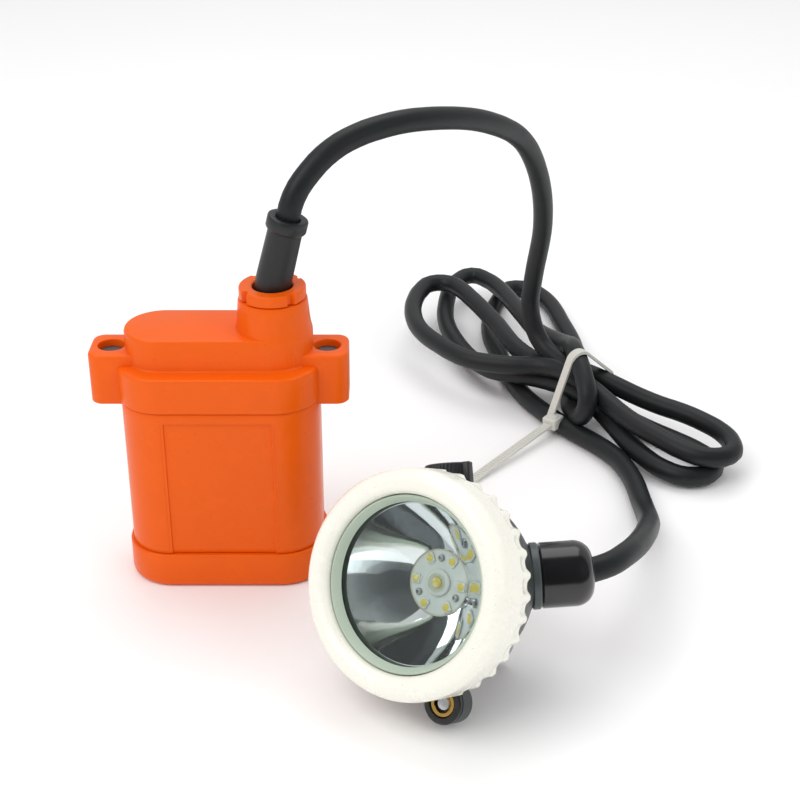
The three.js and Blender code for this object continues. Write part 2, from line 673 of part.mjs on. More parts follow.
// The reflector's inner face is a parabola through its rim and its neck.
function makeReflector() {
  const steps = 4;
  const slope = (REFLECTOR_RIM_RADIUS ** 2 - REFLECTOR_NECK_RADIUS ** 2) / REFLECTOR_DEPTH;
  const radiusAt = (depth) => Math.sqrt(REFLECTOR_RIM_RADIUS ** 2 - slope * (depth - RIM_DEPTH));
  const inside = [];
  const outside = [];
  for (let i = 0; i <= steps; i += 1) {
    const depth = RIM_DEPTH + (REFLECTOR_DEPTH * i) / steps;
    inside.push([radiusAt(depth), -depth]);
    outside.push([radiusAt(depth) + REFLECTOR_WALL, -Math.max(depth, FLANGE_DEPTH)]);
  }
  const flange = [
    [LENS_RADIUS, -FLANGE_DEPTH],
    [LENS_RADIUS, -RIM_DEPTH],
  ];
  return turned([...inside, ...outside.reverse(), ...flange, inside[0]], ROUND_STEPS);
}

// Rotates a geometry made along +Z so that it lies on the gland's axis.
function alongGland(geometry) {
  return geometry.rotateY(radians(90 + GLAND_TILT)).translate(0, 0, -GLAND_DEPTH);
}

// Rotates a geometry made along +Z so that it lies on the switch's axis.
function alongSwitch(geometry) {
  return geometry.rotateX(-Math.PI / 2).translate(0, 0, -SWITCH_DEPTH);
}

function coverScrewPlaces() {
  return [...Array(COVER_SCREW_COUNT).keys()].map((i) =>
    onCircle(COVER_SCREW_RING, COVER_SCREW_TURN + (360 * i) / COVER_SCREW_COUNT),
  );
}

// A clearance hole for one of the rear's screws.
function screwHole(low, high, x, y) {
  return rod(COVER_SCREW_SHANK_RADIUS + CLEAR, low, high, SHANK_STEPS).translate(x, y, 0);
}

function makeHousing() {
  const collarFoot = BEZEL_DEPTH + CLEAR;
  const bore = COLLAR_RADIUS - COLLAR_WALL;
  const rearWall = BOWL_END - HOUSING_WALL;
  const sealStep = BOWL_END - SEAL_SECTION - CLEAR;
  const shell = turned([
    [0, -BOWL_END],
    ...bowlProfile(0, BOWL_START, BOWL_END).reverse(),
    [BOWL_FRONT_RADIUS, -collarFoot],
    [COLLAR_RADIUS, -collarFoot],
    [COLLAR_RADIUS, -COLLAR_DEPTH],
    [0, -COLLAR_DEPTH],
  ]);
  const cavity = turned([
    [0, -rearWall],
    ...bowlProfile(HOUSING_WALL, BOWL_START, rearWall).reverse(),
    [bore, -BOWL_START],
    [bore, -COLLAR_DEPTH + OVERRUN],
    [0, -COLLAR_DEPTH + OVERRUN],
  ]);
  const capRear = -BARREL_FRONT - INSULATOR_CAP_HEIGHT - CLEAR;
  const barrel = join(
    rod(BARREL_RADIUS, -BARREL_REAR, capRear).translate(0, -BARREL_OFFSET, 0),
    box(
      -BARREL_WEB_WIDTH / 2,
      BARREL_WEB_WIDTH / 2,
      -BARREL_OFFSET,
      -BOWL_FRONT_RADIUS + HOUSING_WALL,
      -BARREL_REAR,
      capRear,
    ),
  );
  const body = join(
    shell,
    alongGland(rod(GLAND_BOSS_RADIUS, 0, GLAND_BOSS_END, ROUND_STEPS)),
    alongSwitch(rod(SWITCH_BOSS_RADIUS, 0, SWITCH_BOSS_TOP, SMALL_STEPS)),
    barrel,
  );
  const neckEnd = GLAND_BOSS_END + GLAND_NECK_LENGTH;
  const sealFloor = SWITCH_BOSS_TOP - KNOB_SEAL_HEIGHT - CLEAR;
  const knobSweep = KNOB_RADIUS + POINTER_REACH + CLEAR;
  const hollow = cut(
    body,
    cavity,
    alongGland(rod(GLAND_BOSS_RADIUS, GLAND_BOSS_END, GLAND_BOSS_END + GLAND_NUT_LENGTH, ROUND_STEPS)),
    alongSwitch(rod(knobSweep, SWITCH_BOSS_TOP, SWITCH_BOSS_TOP + KNOB_HEIGHT, MIDDLE_STEPS)),
    rod(BARREL_RADIUS + CLEAR, capRear, -BARREL_FRONT + CLEAR).translate(0, -BARREL_OFFSET, 0),
  );
  const neck = alongGland(rod(GLAND_NECK_RADIUS, GLAND_BOSS_END - OVERRUN, neckEnd, SMALL_STEPS));
  const screwHoles = coverScrewPlaces().map(([x, y]) =>
    screwHole(-BOWL_END - OVERRUN, -rearWall + OVERRUN, x, y),
  );
  const barrelBore = rod(BARREL_BORE_RADIUS, -BARREL_REAR + BARREL_FLOOR, -BARREL_FRONT);
  return cut(
    join(hollow, neck),
    rod(REAR_HOLE_RADIUS, -BOWL_END - OVERRUN, -rearWall + OVERRUN, SMALL_STEPS),
    rod(REAR_HOLE_RADIUS + SEAL_SECTION, -BOWL_END - OVERRUN, -sealStep, SMALL_STEPS),
    alongGland(rod(GLAND_BORE_RADIUS, 0, neckEnd + OVERRUN, SMALL_STEPS)),
    alongSwitch(rod(SHAFT_RADIUS + RUNNING, 0, SWITCH_BOSS_TOP + OVERRUN, SMALL_STEPS)),
    alongSwitch(rod(KNOB_SEAL_RADIUS + RUNNING, sealFloor, SWITCH_BOSS_TOP + OVERRUN, SMALL_STEPS)),
    barrelBore.translate(0, -BARREL_OFFSET, 0),
    ...screwHoles,
  );
}

function makeRearCover() {
  const rear = COVER_DEPTH + COVER_THICKNESS;
  const spigot = REAR_HOLE_RADIUS - CLEAR;
  const cover = turned([
    [0, -rear],
    [COVER_RADIUS - COVER_EDGE, -rear],
    [COVER_RADIUS, -rear + COVER_EDGE],
    [COVER_RADIUS, -COVER_DEPTH],
    [spigot, -COVER_DEPTH],
    [spigot, -COVER_DEPTH + COVER_SPIGOT],
    [0, -COVER_DEPTH + COVER_SPIGOT],
  ], MIDDLE_STEPS);
  const holes = coverScrewPlaces().map(([x, y]) =>
    screwHole(-rear - OVERRUN, -COVER_DEPTH + OVERRUN, x, y),
  );
  return cut(cover, ...holes, ...hookScrewHoles());
}

function hookScrewHoles() {
  const from = -HOOK_DEPTH - HOOK_THICKNESS - OVERRUN;
  const to = -COVER_DEPTH + COVER_SPIGOT - HOOK_SCREW_FLOOR;
  return [-1, 1].map((side) => screwHole(from, to, 0, (side * HOOK_SCREW_SPACING) / 2));
}

function makeHook() {
  const half = HOOK_WIDTH / 2;
  const outline = new THREE.Shape();
  outline.moveTo(half, HOOK_RISE);
  outline.lineTo(-half, HOOK_RISE);
  outline.lineTo(-half, half - HOOK_REACH);
  outline.absarc(0, half - HOOK_REACH, half, Math.PI, 2 * Math.PI);
  return cut(slab(outline, -HOOK_DEPTH - HOOK_THICKNESS, -HOOK_DEPTH), ...hookScrewHoles());
}

// A screw along Z with its head's underside at the given depth, driven in from the rear.
function rearScrew(underHead, tip) {
  const crown = underHead + CLEAR + COVER_SCREW_HEAD_HEIGHT;
  return join(
    rod(COVER_SCREW_HEAD_RADIUS, -crown, -underHead - CLEAR, SMALL_STEPS),
    rod(COVER_SCREW_SHANK_RADIUS, -crown + COVER_SCREW_HEAD_HEIGHT / 2, -tip, SHANK_STEPS),
  );
}

function makeGlandNut() {
  const foot = GLAND_BOSS_END + CLEAR + GLAND_COLLAR_HEIGHT + CLEAR;
  const end = foot + GLAND_NUT_LENGTH;
  const shoulder = end - GLAND_DOME_LENGTH;
  const bore = GLAND_NECK_RADIUS + CLEAR;
  const boreEnd = GLAND_BOSS_END + GLAND_NECK_LENGTH + 2 * CLEAR + GLAND_BUSH_LENGTH;
  const dome = [];
  const steps = 5;
  for (let i = 0; i <= steps; i += 1) {
    const angle = (Math.PI / 2) * (i / steps);
    const radius = GLAND_MOUTH_RADIUS + (GLAND_NUT_RADIUS - GLAND_MOUTH_RADIUS) * Math.cos(angle);
    dome.push([radius, shoulder + GLAND_DOME_LENGTH * Math.sin(angle)]);
  }
  const profile = [
    [GLAND_NUT_RADIUS, foot],
    ...dome,
    [CORD_DIAMETER / 2 + CLEAR, end],
    [CORD_DIAMETER / 2 + CLEAR, boreEnd],
    [bore, boreEnd],
    [bore, foot],
    [GLAND_NUT_RADIUS, foot],
  ];
  return alongGland(turned(profile, MIDDLE_STEPS));
}

function makeKnob() {
  const foot = SWITCH_BOSS_TOP + CLEAR;
  const top = foot + KNOB_HEIGHT;
  const half = POINTER_WIDTH / 2;
  const knob = join(
    rod(KNOB_RADIUS, foot, top, KNOB_STEPS),
    box(0, KNOB_RADIUS + POINTER_REACH, -half, half, foot, top),
  );
  const socket = rod(SHAFT_RADIUS + RUNNING, foot - OVERRUN, top - KNOB_ROOF, SMALL_STEPS);
  return alongSwitch(cut(knob, socket));
}

function addLights(head) {
  const face = -LED_BOARD_DEPTH;
  const holes = [];
  for (let i = 0; i < BOARD_SCREW_COUNT; i += 1) {
    const [x, y] = onCircle(BOARD_SCREW_RING, BOARD_SCREW_TURN + (360 * i) / BOARD_SCREW_COUNT);
    const underHead = face + CLEAR;
    const middle = underHead + AUX_LED_HEIGHT / 2;
    const screw = join(
      rod(BOARD_SCREW_HEAD_RADIUS, underHead, underHead + AUX_LED_HEIGHT),
      rod(BOARD_SCREW_SHANK_RADIUS, underHead - BOARD_SCREW_LENGTH, middle, NOTCH_STEPS),
    );
    addPiece(head, "board_screw_" + (i + 1), screw.translate(x, y, 0), STEEL);
    const bottom = face - BOARD_SCREW_LENGTH - CLEAR;
    const hole = rod(BOARD_SCREW_SHANK_RADIUS + CLEAR, bottom, face + OVERRUN, NOTCH_STEPS);
    holes.push(hole.translate(x, y, 0));
  }
  const board = rod(LED_BOARD_RADIUS, face - BOARD_THICKNESS, face, ROUND_STEPS);
  addPiece(head, "led_board", cut(board, ...holes), WHITE_BOARD);
  const sinkRadius = bowlRadius(SINK_REAR) - HOUSING_WALL - CLEAR;
  const collarBore = COLLAR_RADIUS - COLLAR_WALL - CLEAR;
  const sink = rod(Math.min(sinkRadius, collarBore), -SINK_REAR, -HEAT_SINK_DEPTH, ROUND_STEPS);
  addPiece(head, "heat_sink", cut(sink, ...holes), ALUMINIUM);

  for (let i = 0; i < AUX_LED_COUNT; i += 1) {
    const angle = AUX_LED_TURN + (360 * i) / AUX_LED_COUNT;
    const [x, y] = onCircle(AUX_LED_RING, angle);
    const half = AUX_LED_SIZE / 2;
    const chip = box(-half, half, -half, half, face + CLEAR, face + CLEAR + AUX_LED_HEIGHT);
    addPiece(head, "aux_led_" + (i + 1), chip.rotateZ(radians(angle)).translate(x, y, 0), YELLOW_LED);
  }
  const baseTop = face + CLEAR + MAIN_BASE_HEIGHT;
  addPiece(head, "main_led_base", rod(MAIN_BASE_RADIUS, face + CLEAR, baseTop), WHITE_BOARD);
  const points = [[0, 0]];
  const steps = 5;
  for (let i = 0; i < steps; i += 1) {
    const angle = (Math.PI / 2) * (i / steps);
    points.push([MAIN_DOME_RADIUS * Math.cos(angle), MAIN_DOME_RADIUS * Math.sin(angle)]);
  }
  points.push([0, MAIN_DOME_RADIUS]);
  const lens = turned(points, SMALL_STEPS).translate(0, 0, baseTop + CLEAR);
  addPiece(head, "main_led_dome", lens, CLEAR_GLASS);
}

function addRear(head) {
  addPiece(head, "rear_cover", makeRearCover(), GREY_PLASTIC);
  const sealFront = -(BOWL_END - SEAL_SECTION);
  const sealRadius = REAR_HOLE_RADIUS + SEAL_SECTION - CLEAR;
  const seal = ring(REAR_HOLE_RADIUS + SEAL_GAP, sealRadius, -BOWL_END, sealFront, SMALL_STEPS);
  addPiece(head, "rear_seal", seal, BLACK_RUBBER);
  coverScrewPlaces().forEach(([x, y], index) => {
    const screw = rearScrew(COVER_DEPTH + COVER_THICKNESS, BOWL_END - HOUSING_WALL);
    addPiece(head, "cover_screw_" + (index + 1), screw.translate(x, y, 0), STEEL);
  });
  addPiece(head, "helmet_hook", makeHook(), STEEL);
  ["lower", "upper"].forEach((place, index) => {
    const tip = COVER_DEPTH - COVER_SPIGOT + HOOK_SCREW_FLOOR + CLEAR;
    const screw = rearScrew(HOOK_DEPTH + HOOK_THICKNESS, tip);
    const y = (index - 0.5) * HOOK_SCREW_SPACING;
    addPiece(head, "hook_screw_" + place, screw.translate(0, y, 0), STEEL);
  });
}

function addGland(head) {
  const collarFoot = GLAND_BOSS_END + CLEAR;
  const bore = GLAND_NECK_RADIUS + CLEAR;
  const collar = ring(bore, GLAND_COLLAR_RADIUS, collarFoot, collarFoot + GLAND_COLLAR_HEIGHT);
  addPiece(head, "gland_collar", alongGland(collar), GREY_PLASTIC);
  const bushFoot = GLAND_BOSS_END + GLAND_NECK_LENGTH + CLEAR;
  const bushEnd = bushFoot + GLAND_BUSH_LENGTH;
  const bush = ring(CORD_DIAMETER / 2 + CLEAR, GLAND_NECK_RADIUS, bushFoot, bushEnd, SMALL_STEPS);
  addPiece(head, "gland_bush", alongGland(bush), BLACK_RUBBER);
  addPiece(head, "lamp_gland_nut", makeGlandNut(), BLACK_PLASTIC);
}

function addSwitch(head) {
  const sealTop = SWITCH_BOSS_TOP - SEAL_GAP;
  const sealFoot = sealTop - KNOB_SEAL_HEIGHT;
  const seal = ring(SHAFT_RADIUS + RUNNING, KNOB_SEAL_RADIUS, sealFoot, sealTop, SMALL_STEPS);
  addPiece(head, "knob_seal", alongSwitch(seal), BLACK_RUBBER);
  const bodyTop = SHAFT_FOOT - CLEAR;
  const half = SWITCH_BODY_SIZE / 2;
  const body = box(-half, half, -half, half, bodyTop - SWITCH_BODY_HEIGHT, bodyTop);
  addPiece(head, "switch_body", alongSwitch(body), BLACK_PLASTIC);
  const shaftTop = SWITCH_BOSS_TOP + CLEAR + KNOB_HEIGHT - KNOB_ROOF - CLEAR;
  addPiece(head, "switch_shaft", alongSwitch(rod(SHAFT_RADIUS, SHAFT_FOOT, shaftTop)), STEEL);
  addPiece(head, "switch_knob", makeKnob(), BLACK_PLASTIC);
}

function addChargingContact(head) {
  const front = -BARREL_FRONT;
  const capRear = front - INSULATOR_CAP_HEIGHT;
  const spigot = BARREL_BORE_RADIUS - CLEAR;
  const spigotRear = -BARREL_REAR + BARREL_FLOOR + CLEAR;
  const ringRear = front - CONTACT_SINK - RING_LENGTH;
  const insulator = turned([
    [spigot, spigotRear],
    [spigot, capRear],
    [BARREL_RADIUS, capRear],
    [BARREL_RADIUS, front],
    [RING_RADIUS + CLEAR, front],
    [RING_RADIUS + CLEAR, ringRear - CLEAR],
    [PIN_RADIUS + CLEAR, ringRear - CLEAR],
    [PIN_RADIUS + CLEAR, spigotRear],
    [spigot, spigotRear],
  ], SMALL_STEPS);
  const contact = ring(RING_RADIUS - RING_WALL, RING_RADIUS, ringRear, front - CONTACT_SINK, SMALL_STEPS);
  const pin = rod(PIN_RADIUS, spigotRear, front - 2 * CONTACT_SINK);
  addPiece(head, "charge_insulator", insulator.translate(0, -BARREL_OFFSET, 0), BLACK_PLASTIC);
  addPiece(head, "charge_ring_contact", contact.translate(0, -BARREL_OFFSET, 0), BRASS);
  addPiece(head, "charge_pin", pin.translate(0, -BARREL_OFFSET, 0), STEEL);
}

function makeHead() {
  const head = new THREE.Group();
  addPiece(head, "bezel_ring", makeBezel(), CREAM);
  addPiece(head, "lens_gasket", makeLensGasket(), PALE_GREEN);
  const lens = rod(LENS_RADIUS, -LENS_DEPTH - LENS_THICKNESS, -LENS_DEPTH, ROUND_STEPS);
  addPiece(head, "front_lens", lens, CLEAR_GLASS);
  addPiece(head, "reflector", makeReflector(), CHROME);
  addLights(head);
  const driver = rod(DRIVER_BOARD_RADIUS, -DRIVER_BOARD_DEPTH - BOARD_THICKNESS, -DRIVER_BOARD_DEPTH);
  addPiece(head, "driver_board", driver, GREEN_BOARD);
  addPiece(head, "lamp_housing", makeHousing(), GREY_PLASTIC);
  addRear(head);
  addGland(head);
  addSwitch(head);
  addChargingContact(head);

  const turn = radians(HEAD_TURN);
  const tilt = radians(HEAD_TILT);
  const roll = radians(HEAD_ROLL);
  const facing = new THREE.Vector3(
    -Math.sin(turn) * Math.cos(tilt),
    -Math.cos(turn) * Math.cos(tilt),
    Math.sin(tilt),
  );
  const level = new THREE.Vector3(Math.cos(turn), -Math.sin(turn), 0);
  const glandSide = level.clone().applyAxisAngle(facing, roll);
  const switchSide = facing.clone().cross(glandSide);
  const axes = new THREE.Matrix4().makeBasis(glandSide, switchSide, facing);
  head.quaternion.setFromRotationMatrix(axes);
  const rim = BARREL_RADIUS * Math.sqrt(1 - facing.z ** 2);
  const height = HEAD_LIFT + BARREL_OFFSET * switchSide.z + BARREL_REAR * facing.z + rim;
  head.position.set(HEAD_X, HEAD_Y, height);
  return head;
}

// ---- Cord, lying as it is stored: an arc, a tied bundle in two halves, and a tail ----

function beyondBoot(distance) {
  const along = BOOT_LENGTH + distance;
  const lean = radians(BOOT_LEAN);
  return [TOWER_X + along * Math.sin(lean), 0, BOOT_BEND + along * Math.cos(lean)];
}

const ARC_POINTS = [
  beyondBoot(CLEAR),
  beyondBoot(CORD_DIAMETER / 2),
  [29.5, 3, 137],
  [39, 9.5, 144.5],
  [54, 20.5, 147.5],
  [71, 36, 145],
  [88, 57, 137],
  [102, 79.5, 123],
  [110.5, 98.5, 101],
  [113.5, 112, 78],
  [112, 122, 54],
  [111.8, 126.5, 36],
  [112.5, 126.5, 28],
  [112.6, 126.5, BUNDLE_HEIGHT + 2 * CLEAR],
];
const TAIL_POINTS = [
  [146.6, 41.3, 3.8],
  [146.6, 31.9, 3.9],
  [146.4, 21, 5.2],
  [145.3, 9.5, 9],
  [143.4, -2, 14.2],
  [141, -12.5, 19.2],
  [137.7, -26, 25.4],
];
const TAIL_END_OFFSETS = [
  [16.7, 22.3, -5.4],
  [11.5, 11.4, -1.8],
  [5.7, 3.8, -0.2],
]; // the tail's last points, from the gland's mouth
const LEFT_OUTLINE = [
  [117.7, 92.1], [140.6, 105.3], [141, 140], [138, 175], [132, 210], [114, 231],
  [92, 240], [70, 212], [60, 180], [59, 148], [70, 119], [92, 97],
];
const RIGHT_OUTLINE = [
  [143.2, 100.7], [120.6, 87.7], [126, 68], [136, 46.5], [176, 39], [190, 48], [190, 62], [178, 87],
];
const TIE_CENTRE = new THREE.Vector3(128, 95, 0);
const TIE_TURN = 30; // the loop's long axis, from +X
const TIE_TAIL_END = new THREE.Vector3(83, 47, 0);

// The cord leaves the lamp's gland at the nut's mouth, given in the row's frame.
function glandMouth(head, beyond) {
  const along = GLAND_BOSS_END + 2 * CLEAR + GLAND_COLLAR_HEIGHT + GLAND_NUT_LENGTH + beyond;
  const local = new THREE.Vector3(
    along * Math.cos(radians(GLAND_TILT)),
    0,
    -GLAND_DEPTH - along * Math.sin(radians(GLAND_TILT)),
  );
  return local.applyQuaternion(head.quaternion).add(head.position).toArray();
}

function makeTie() {
  const halfLength = TIE_LOOP_LENGTH / 2;
  const halfHeight = (BUNDLE_HEIGHT + TIE_SLACK) / 2;
  const outer = plan(halfLength, halfHeight, TIE_LOOP_CORNER);
  const inner = plan(halfLength - TIE_THICKNESS, halfHeight - TIE_THICKNESS, TIE_LOOP_CORNER - TIE_THICKNESS);
  const loop = cut(
    slab(outer, -TIE_WIDTH / 2, TIE_WIDTH / 2),
    slab(inner, -TIE_WIDTH / 2 - OVERRUN, TIE_WIDTH / 2 + OVERRUN),
  );
  loop.rotateX(Math.PI / 2).rotateZ(radians(TIE_TURN));
  loop.translate(TIE_CENTRE.x, TIE_CENTRE.y, halfHeight + CLEAR);

  const along = new THREE.Vector3(...onCircle(1, TIE_TURN), 0);
  const lock = TIE_CENTRE.clone().addScaledVector(along, -halfLength - TIE_HEAD / 2 + TIE_THICKNESS);
  const half = TIE_HEAD / 2;
  const cheek = TIE_WIDTH / 2 + TIE_CHEEK;
  const block = box(-half, half, -cheek, cheek, -half, half);
  block.rotateZ(radians(TIE_TURN)).translate(lock.x, lock.y, TIE_HEAD);

  const run = TIE_TAIL_END.clone().sub(lock);
  const length = Math.hypot(run.length(), TIE_HEAD - TIE_THICKNESS);
  const drop = Math.atan2(TIE_HEAD - TIE_THICKNESS, run.length());
  const tail = box(0, length, -TIE_WIDTH / 2, TIE_WIDTH / 2, -TIE_THICKNESS / 2, TIE_THICKNESS / 2);
  tail.rotateY(drop).rotateZ(Math.atan2(run.y, run.x)).translate(lock.x, lock.y, TIE_HEAD);
  return join(loop, block, tail);
}

function outlineShape(points) {
  return new THREE.Shape(points.map(([x, y]) => new THREE.Vector2(x, y)));
}

function makeCord(head) {
  const cord = new THREE.Group();
  const radius = CORD_DIAMETER / 2;
  const mouth = glandMouth(head, 0);
  const ending = TAIL_END_OFFSETS.map((offset) => offset.map((step, i) => mouth[i] + step));
  const tail = [...TAIL_POINTS, ...ending, glandMouth(head, 5 * CLEAR)];
  addPiece(cord, "cord_arc", tubeAlong(ARC_POINTS, radius, CORD_SIDES, ARC_STEPS), CORD_RUBBER);
  addPiece(cord, "cord_bundle_left", slab(outlineShape(LEFT_OUTLINE), 0, BUNDLE_HEIGHT), CORD_RUBBER);
  addPiece(cord, "cord_bundle_right", slab(outlineShape(RIGHT_OUTLINE), 0, BUNDLE_HEIGHT), CORD_RUBBER);
  addPiece(cord, "cord_tail", tubeAlong(tail, radius, CORD_SIDES, TAIL_STEPS), CORD_RUBBER);
  addPiece(cord, "cable_tie", makeTie(), TIE_NYLON);
  return cord;
}

// ---- The whole lamp ----

const capLamp = new THREE.Group();
const lampHead = makeHead();
capLamp.add(makePack(), lampHead, makeCord(lampHead));

export default capLamp;
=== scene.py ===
import math

import bmesh
import bpy
import numpy as np
from mathutils import Matrix, Vector


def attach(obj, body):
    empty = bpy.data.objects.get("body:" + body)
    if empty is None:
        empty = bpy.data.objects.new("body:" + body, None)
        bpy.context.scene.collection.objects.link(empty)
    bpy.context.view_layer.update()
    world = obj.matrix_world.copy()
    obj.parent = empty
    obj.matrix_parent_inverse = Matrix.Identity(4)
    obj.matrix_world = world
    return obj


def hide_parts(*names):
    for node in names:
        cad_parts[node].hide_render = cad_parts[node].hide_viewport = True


bl_info = {
    "name": "Miner's cap lamp",
    "version": (1, 0, 0),
    "blender": (4, 5, 0),
    "location": "View3D > Sidebar > Cap lamp",
    "description": "Builds a corded miner's cap lamp on its CAD frame",
    "category": "Object",
}

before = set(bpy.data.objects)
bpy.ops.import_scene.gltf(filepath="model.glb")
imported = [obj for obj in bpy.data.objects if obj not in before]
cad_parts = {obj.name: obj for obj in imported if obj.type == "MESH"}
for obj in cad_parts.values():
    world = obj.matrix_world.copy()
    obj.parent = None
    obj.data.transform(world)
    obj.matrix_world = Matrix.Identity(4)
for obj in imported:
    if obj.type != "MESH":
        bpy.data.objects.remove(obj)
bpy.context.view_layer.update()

MM = 0.001
BODY = "lamp"
SWITCH = "switch"

# ---- Fixed sizes of the lamp, in millimetres, as in the CAD ----

CASE_HALF = (32.1, 18.2, 14.0)
BASE_HALF = (33.1, 19.2, 15.0)
FLANGE_HALF = (32.6, 18.7, 14.5)
TIER_HALF = (30.3, 12.5, 12.5)
TOWER_X = 17.8
BOOT_LEAN = math.radians(14.6)
BOOT_LENGTH = 23.5
BOOT_RADIUS = 6.05
BOOT_SEAT = 97.0
NUT_TOP = 102.0
NUT_NOTCH_FLOOR = 9.3
NUT_NOTCH_TURN = 37.0
FLANGE_TOP = 77.3
PANEL_HALF = 17.3
PANEL_TOP = 61.5
PANEL_RECESS = 0.5
GLAND_TILT = math.radians(32.0)
GLAND_DEPTH = 23.4
SWITCH_DEPTH = 28.0
BARREL_Y = -35.0
BOARD_FACE = -18.5
HOOK_HALF = 5.5
HOOK_RISE = 7.0
HOOK_REACH = 24.6

CORNER_STEPS = 14
MERGE_GAP = 1e-4
CORD_STEP = 3.2
KNOT_STEP = 3
TOOTH_PITCH = 1.3

HEAD_CENTRE = Vector((59.9, -82.8, 44.778))
HEAD_TURN = math.radians(36.7)
HEAD_TILT = math.radians(27.1)
HEAD_ROLL = math.radians(23.5)


def head_matrix():
    """The lamp head's own frame: +Z the way it shines, +X its gland's side, +Y its switch's."""
    facing = Vector((
        -math.sin(HEAD_TURN) * math.cos(HEAD_TILT),
        -math.cos(HEAD_TURN) * math.cos(HEAD_TILT),
        math.sin(HEAD_TILT),
    ))
    level = Vector((math.cos(HEAD_TURN), -math.sin(HEAD_TURN), 0.0))
    gland_side = Matrix.Rotation(HEAD_ROLL, 3, facing) @ level
    switch_side = facing.cross(gland_side)
    turn = Matrix((gland_side, switch_side, facing)).transposed().to_4x4()
    return Matrix.Translation(HEAD_CENTRE) @ turn


HEAD = head_matrix()
GLAND = HEAD @ Matrix.Translation((0, 0, -GLAND_DEPTH)) @ Matrix.Rotation(math.pi / 2 + GLAND_TILT, 4, "Y")
SWITCH_AXIS = HEAD @ Matrix.Translation((0, 0, -SWITCH_DEPTH)) @ Matrix.Rotation(-math.pi / 2, 4, "X")
BARREL = HEAD @ Matrix.Translation((0, BARREL_Y, 0))
TOWER = Matrix.Translation((TOWER_X, 0, 0))


# ---- Sizes and colours that can be set ----

def colour(name, text, value):
    return bpy.props.FloatVectorProperty(
        name=name, description=text, default=value, subtype="COLOR", size=3, min=0.0, max=1.0)


def length(name, text, value):
    return bpy.props.FloatProperty(
        name=name, description=text, default=value, unit="LENGTH", precision=5)


def number(name, text, value):
    return bpy.props.IntProperty(name=name, description=text, default=value, min=3)


class CapLampSizes(bpy.types.PropertyGroup):
    """Sizes of the visible pieces."""
    cord_diameter: length("Cord diameter", "Outside diameter of the cord's sheath", 0.0076)
    strap_width: length("Strap width", "Width of the cable tie's strap", 0.0036)
    strap_thickness: length("Strap thickness", "Thickness of the cable tie's strap", 0.0012)
    edge_fillet: length("Edge fillet", "Fillet on the pack's moulded edges", 0.0009)
    scallop_depth: length("Scallop depth", "Depth of the grip scallops round the bezel", 0.0013)
    scallops: number("Scallops", "Number of grip scallops", 33)
    knob_ribs: number("Knob ribs", "Number of ribs on the switch knob", 36)


class CapLampColours(bpy.types.PropertyGroup):
    """Base colours of the materials."""
    orange: colour("Orange", "Battery pack plastic", (0.82, 0.112, 0.003))
    cord: colour("Cord", "Cord sheath rubber", (0.0105, 0.0130, 0.0138))
    black: colour("Black", "Gland nut and knob plastic", (0.010, 0.010, 0.011))
    grey: colour("Grey", "Lamp housing plastic", (0.042, 0.050, 0.050))
    cream: colour("Cream", "Bezel plastic", (0.90, 0.885, 0.79))
    gasket: colour("Gasket", "Lens gasket", (0.46, 0.54, 0.44))
    board: colour("Board", "Light source board", (0.62, 0.66, 0.64))
    phosphor: colour("Phosphor", "Yellow phosphor of the light sources", (0.66, 0.54, 0.07))
    steel: colour("Steel", "Screws, hook and contact pin", (0.52, 0.53, 0.54))
    brass: colour("Brass", "Charging contact ring", (0.60, 0.36, 0.10))
    nylon: colour("Nylon", "Cable tie", (0.62, 0.62, 0.57))


# ---- Shader building ----

class Field:
    """A shader value that takes ordinary arithmetic."""

    def __init__(self, shader, socket):
        self.shader = shader
        self.socket = socket

    def math(self, operation, other=None, flip=False):
        terms = [self] if other is None else [self, other]
        if flip:
            terms.reverse()
        return self.shader.node("ShaderNodeMath", terms, operation=operation)

    def __add__(self, other):
        return self.math("ADD", other)

    def __sub__(self, other):
        return self.math("SUBTRACT", other)

    def __rsub__(self, other):
        return self.math("SUBTRACT", other, flip=True)

    def __mul__(self, other):
        return self.math("MULTIPLY", other)

    def __truediv__(self, other):
        return self.math("DIVIDE", other)

    def __pow__(self, other):
        return self.math("POWER", other)

    __radd__ = __add__
    __rmul__ = __mul__

    def above(self, low, high):
        """0 below low, 1 above high, and smooth between them."""
        return self.shader.node(
            "ShaderNodeMapRange", {"Value": self, "From Min": low, "From Max": high},
            interpolation_type="SMOOTHSTEP")


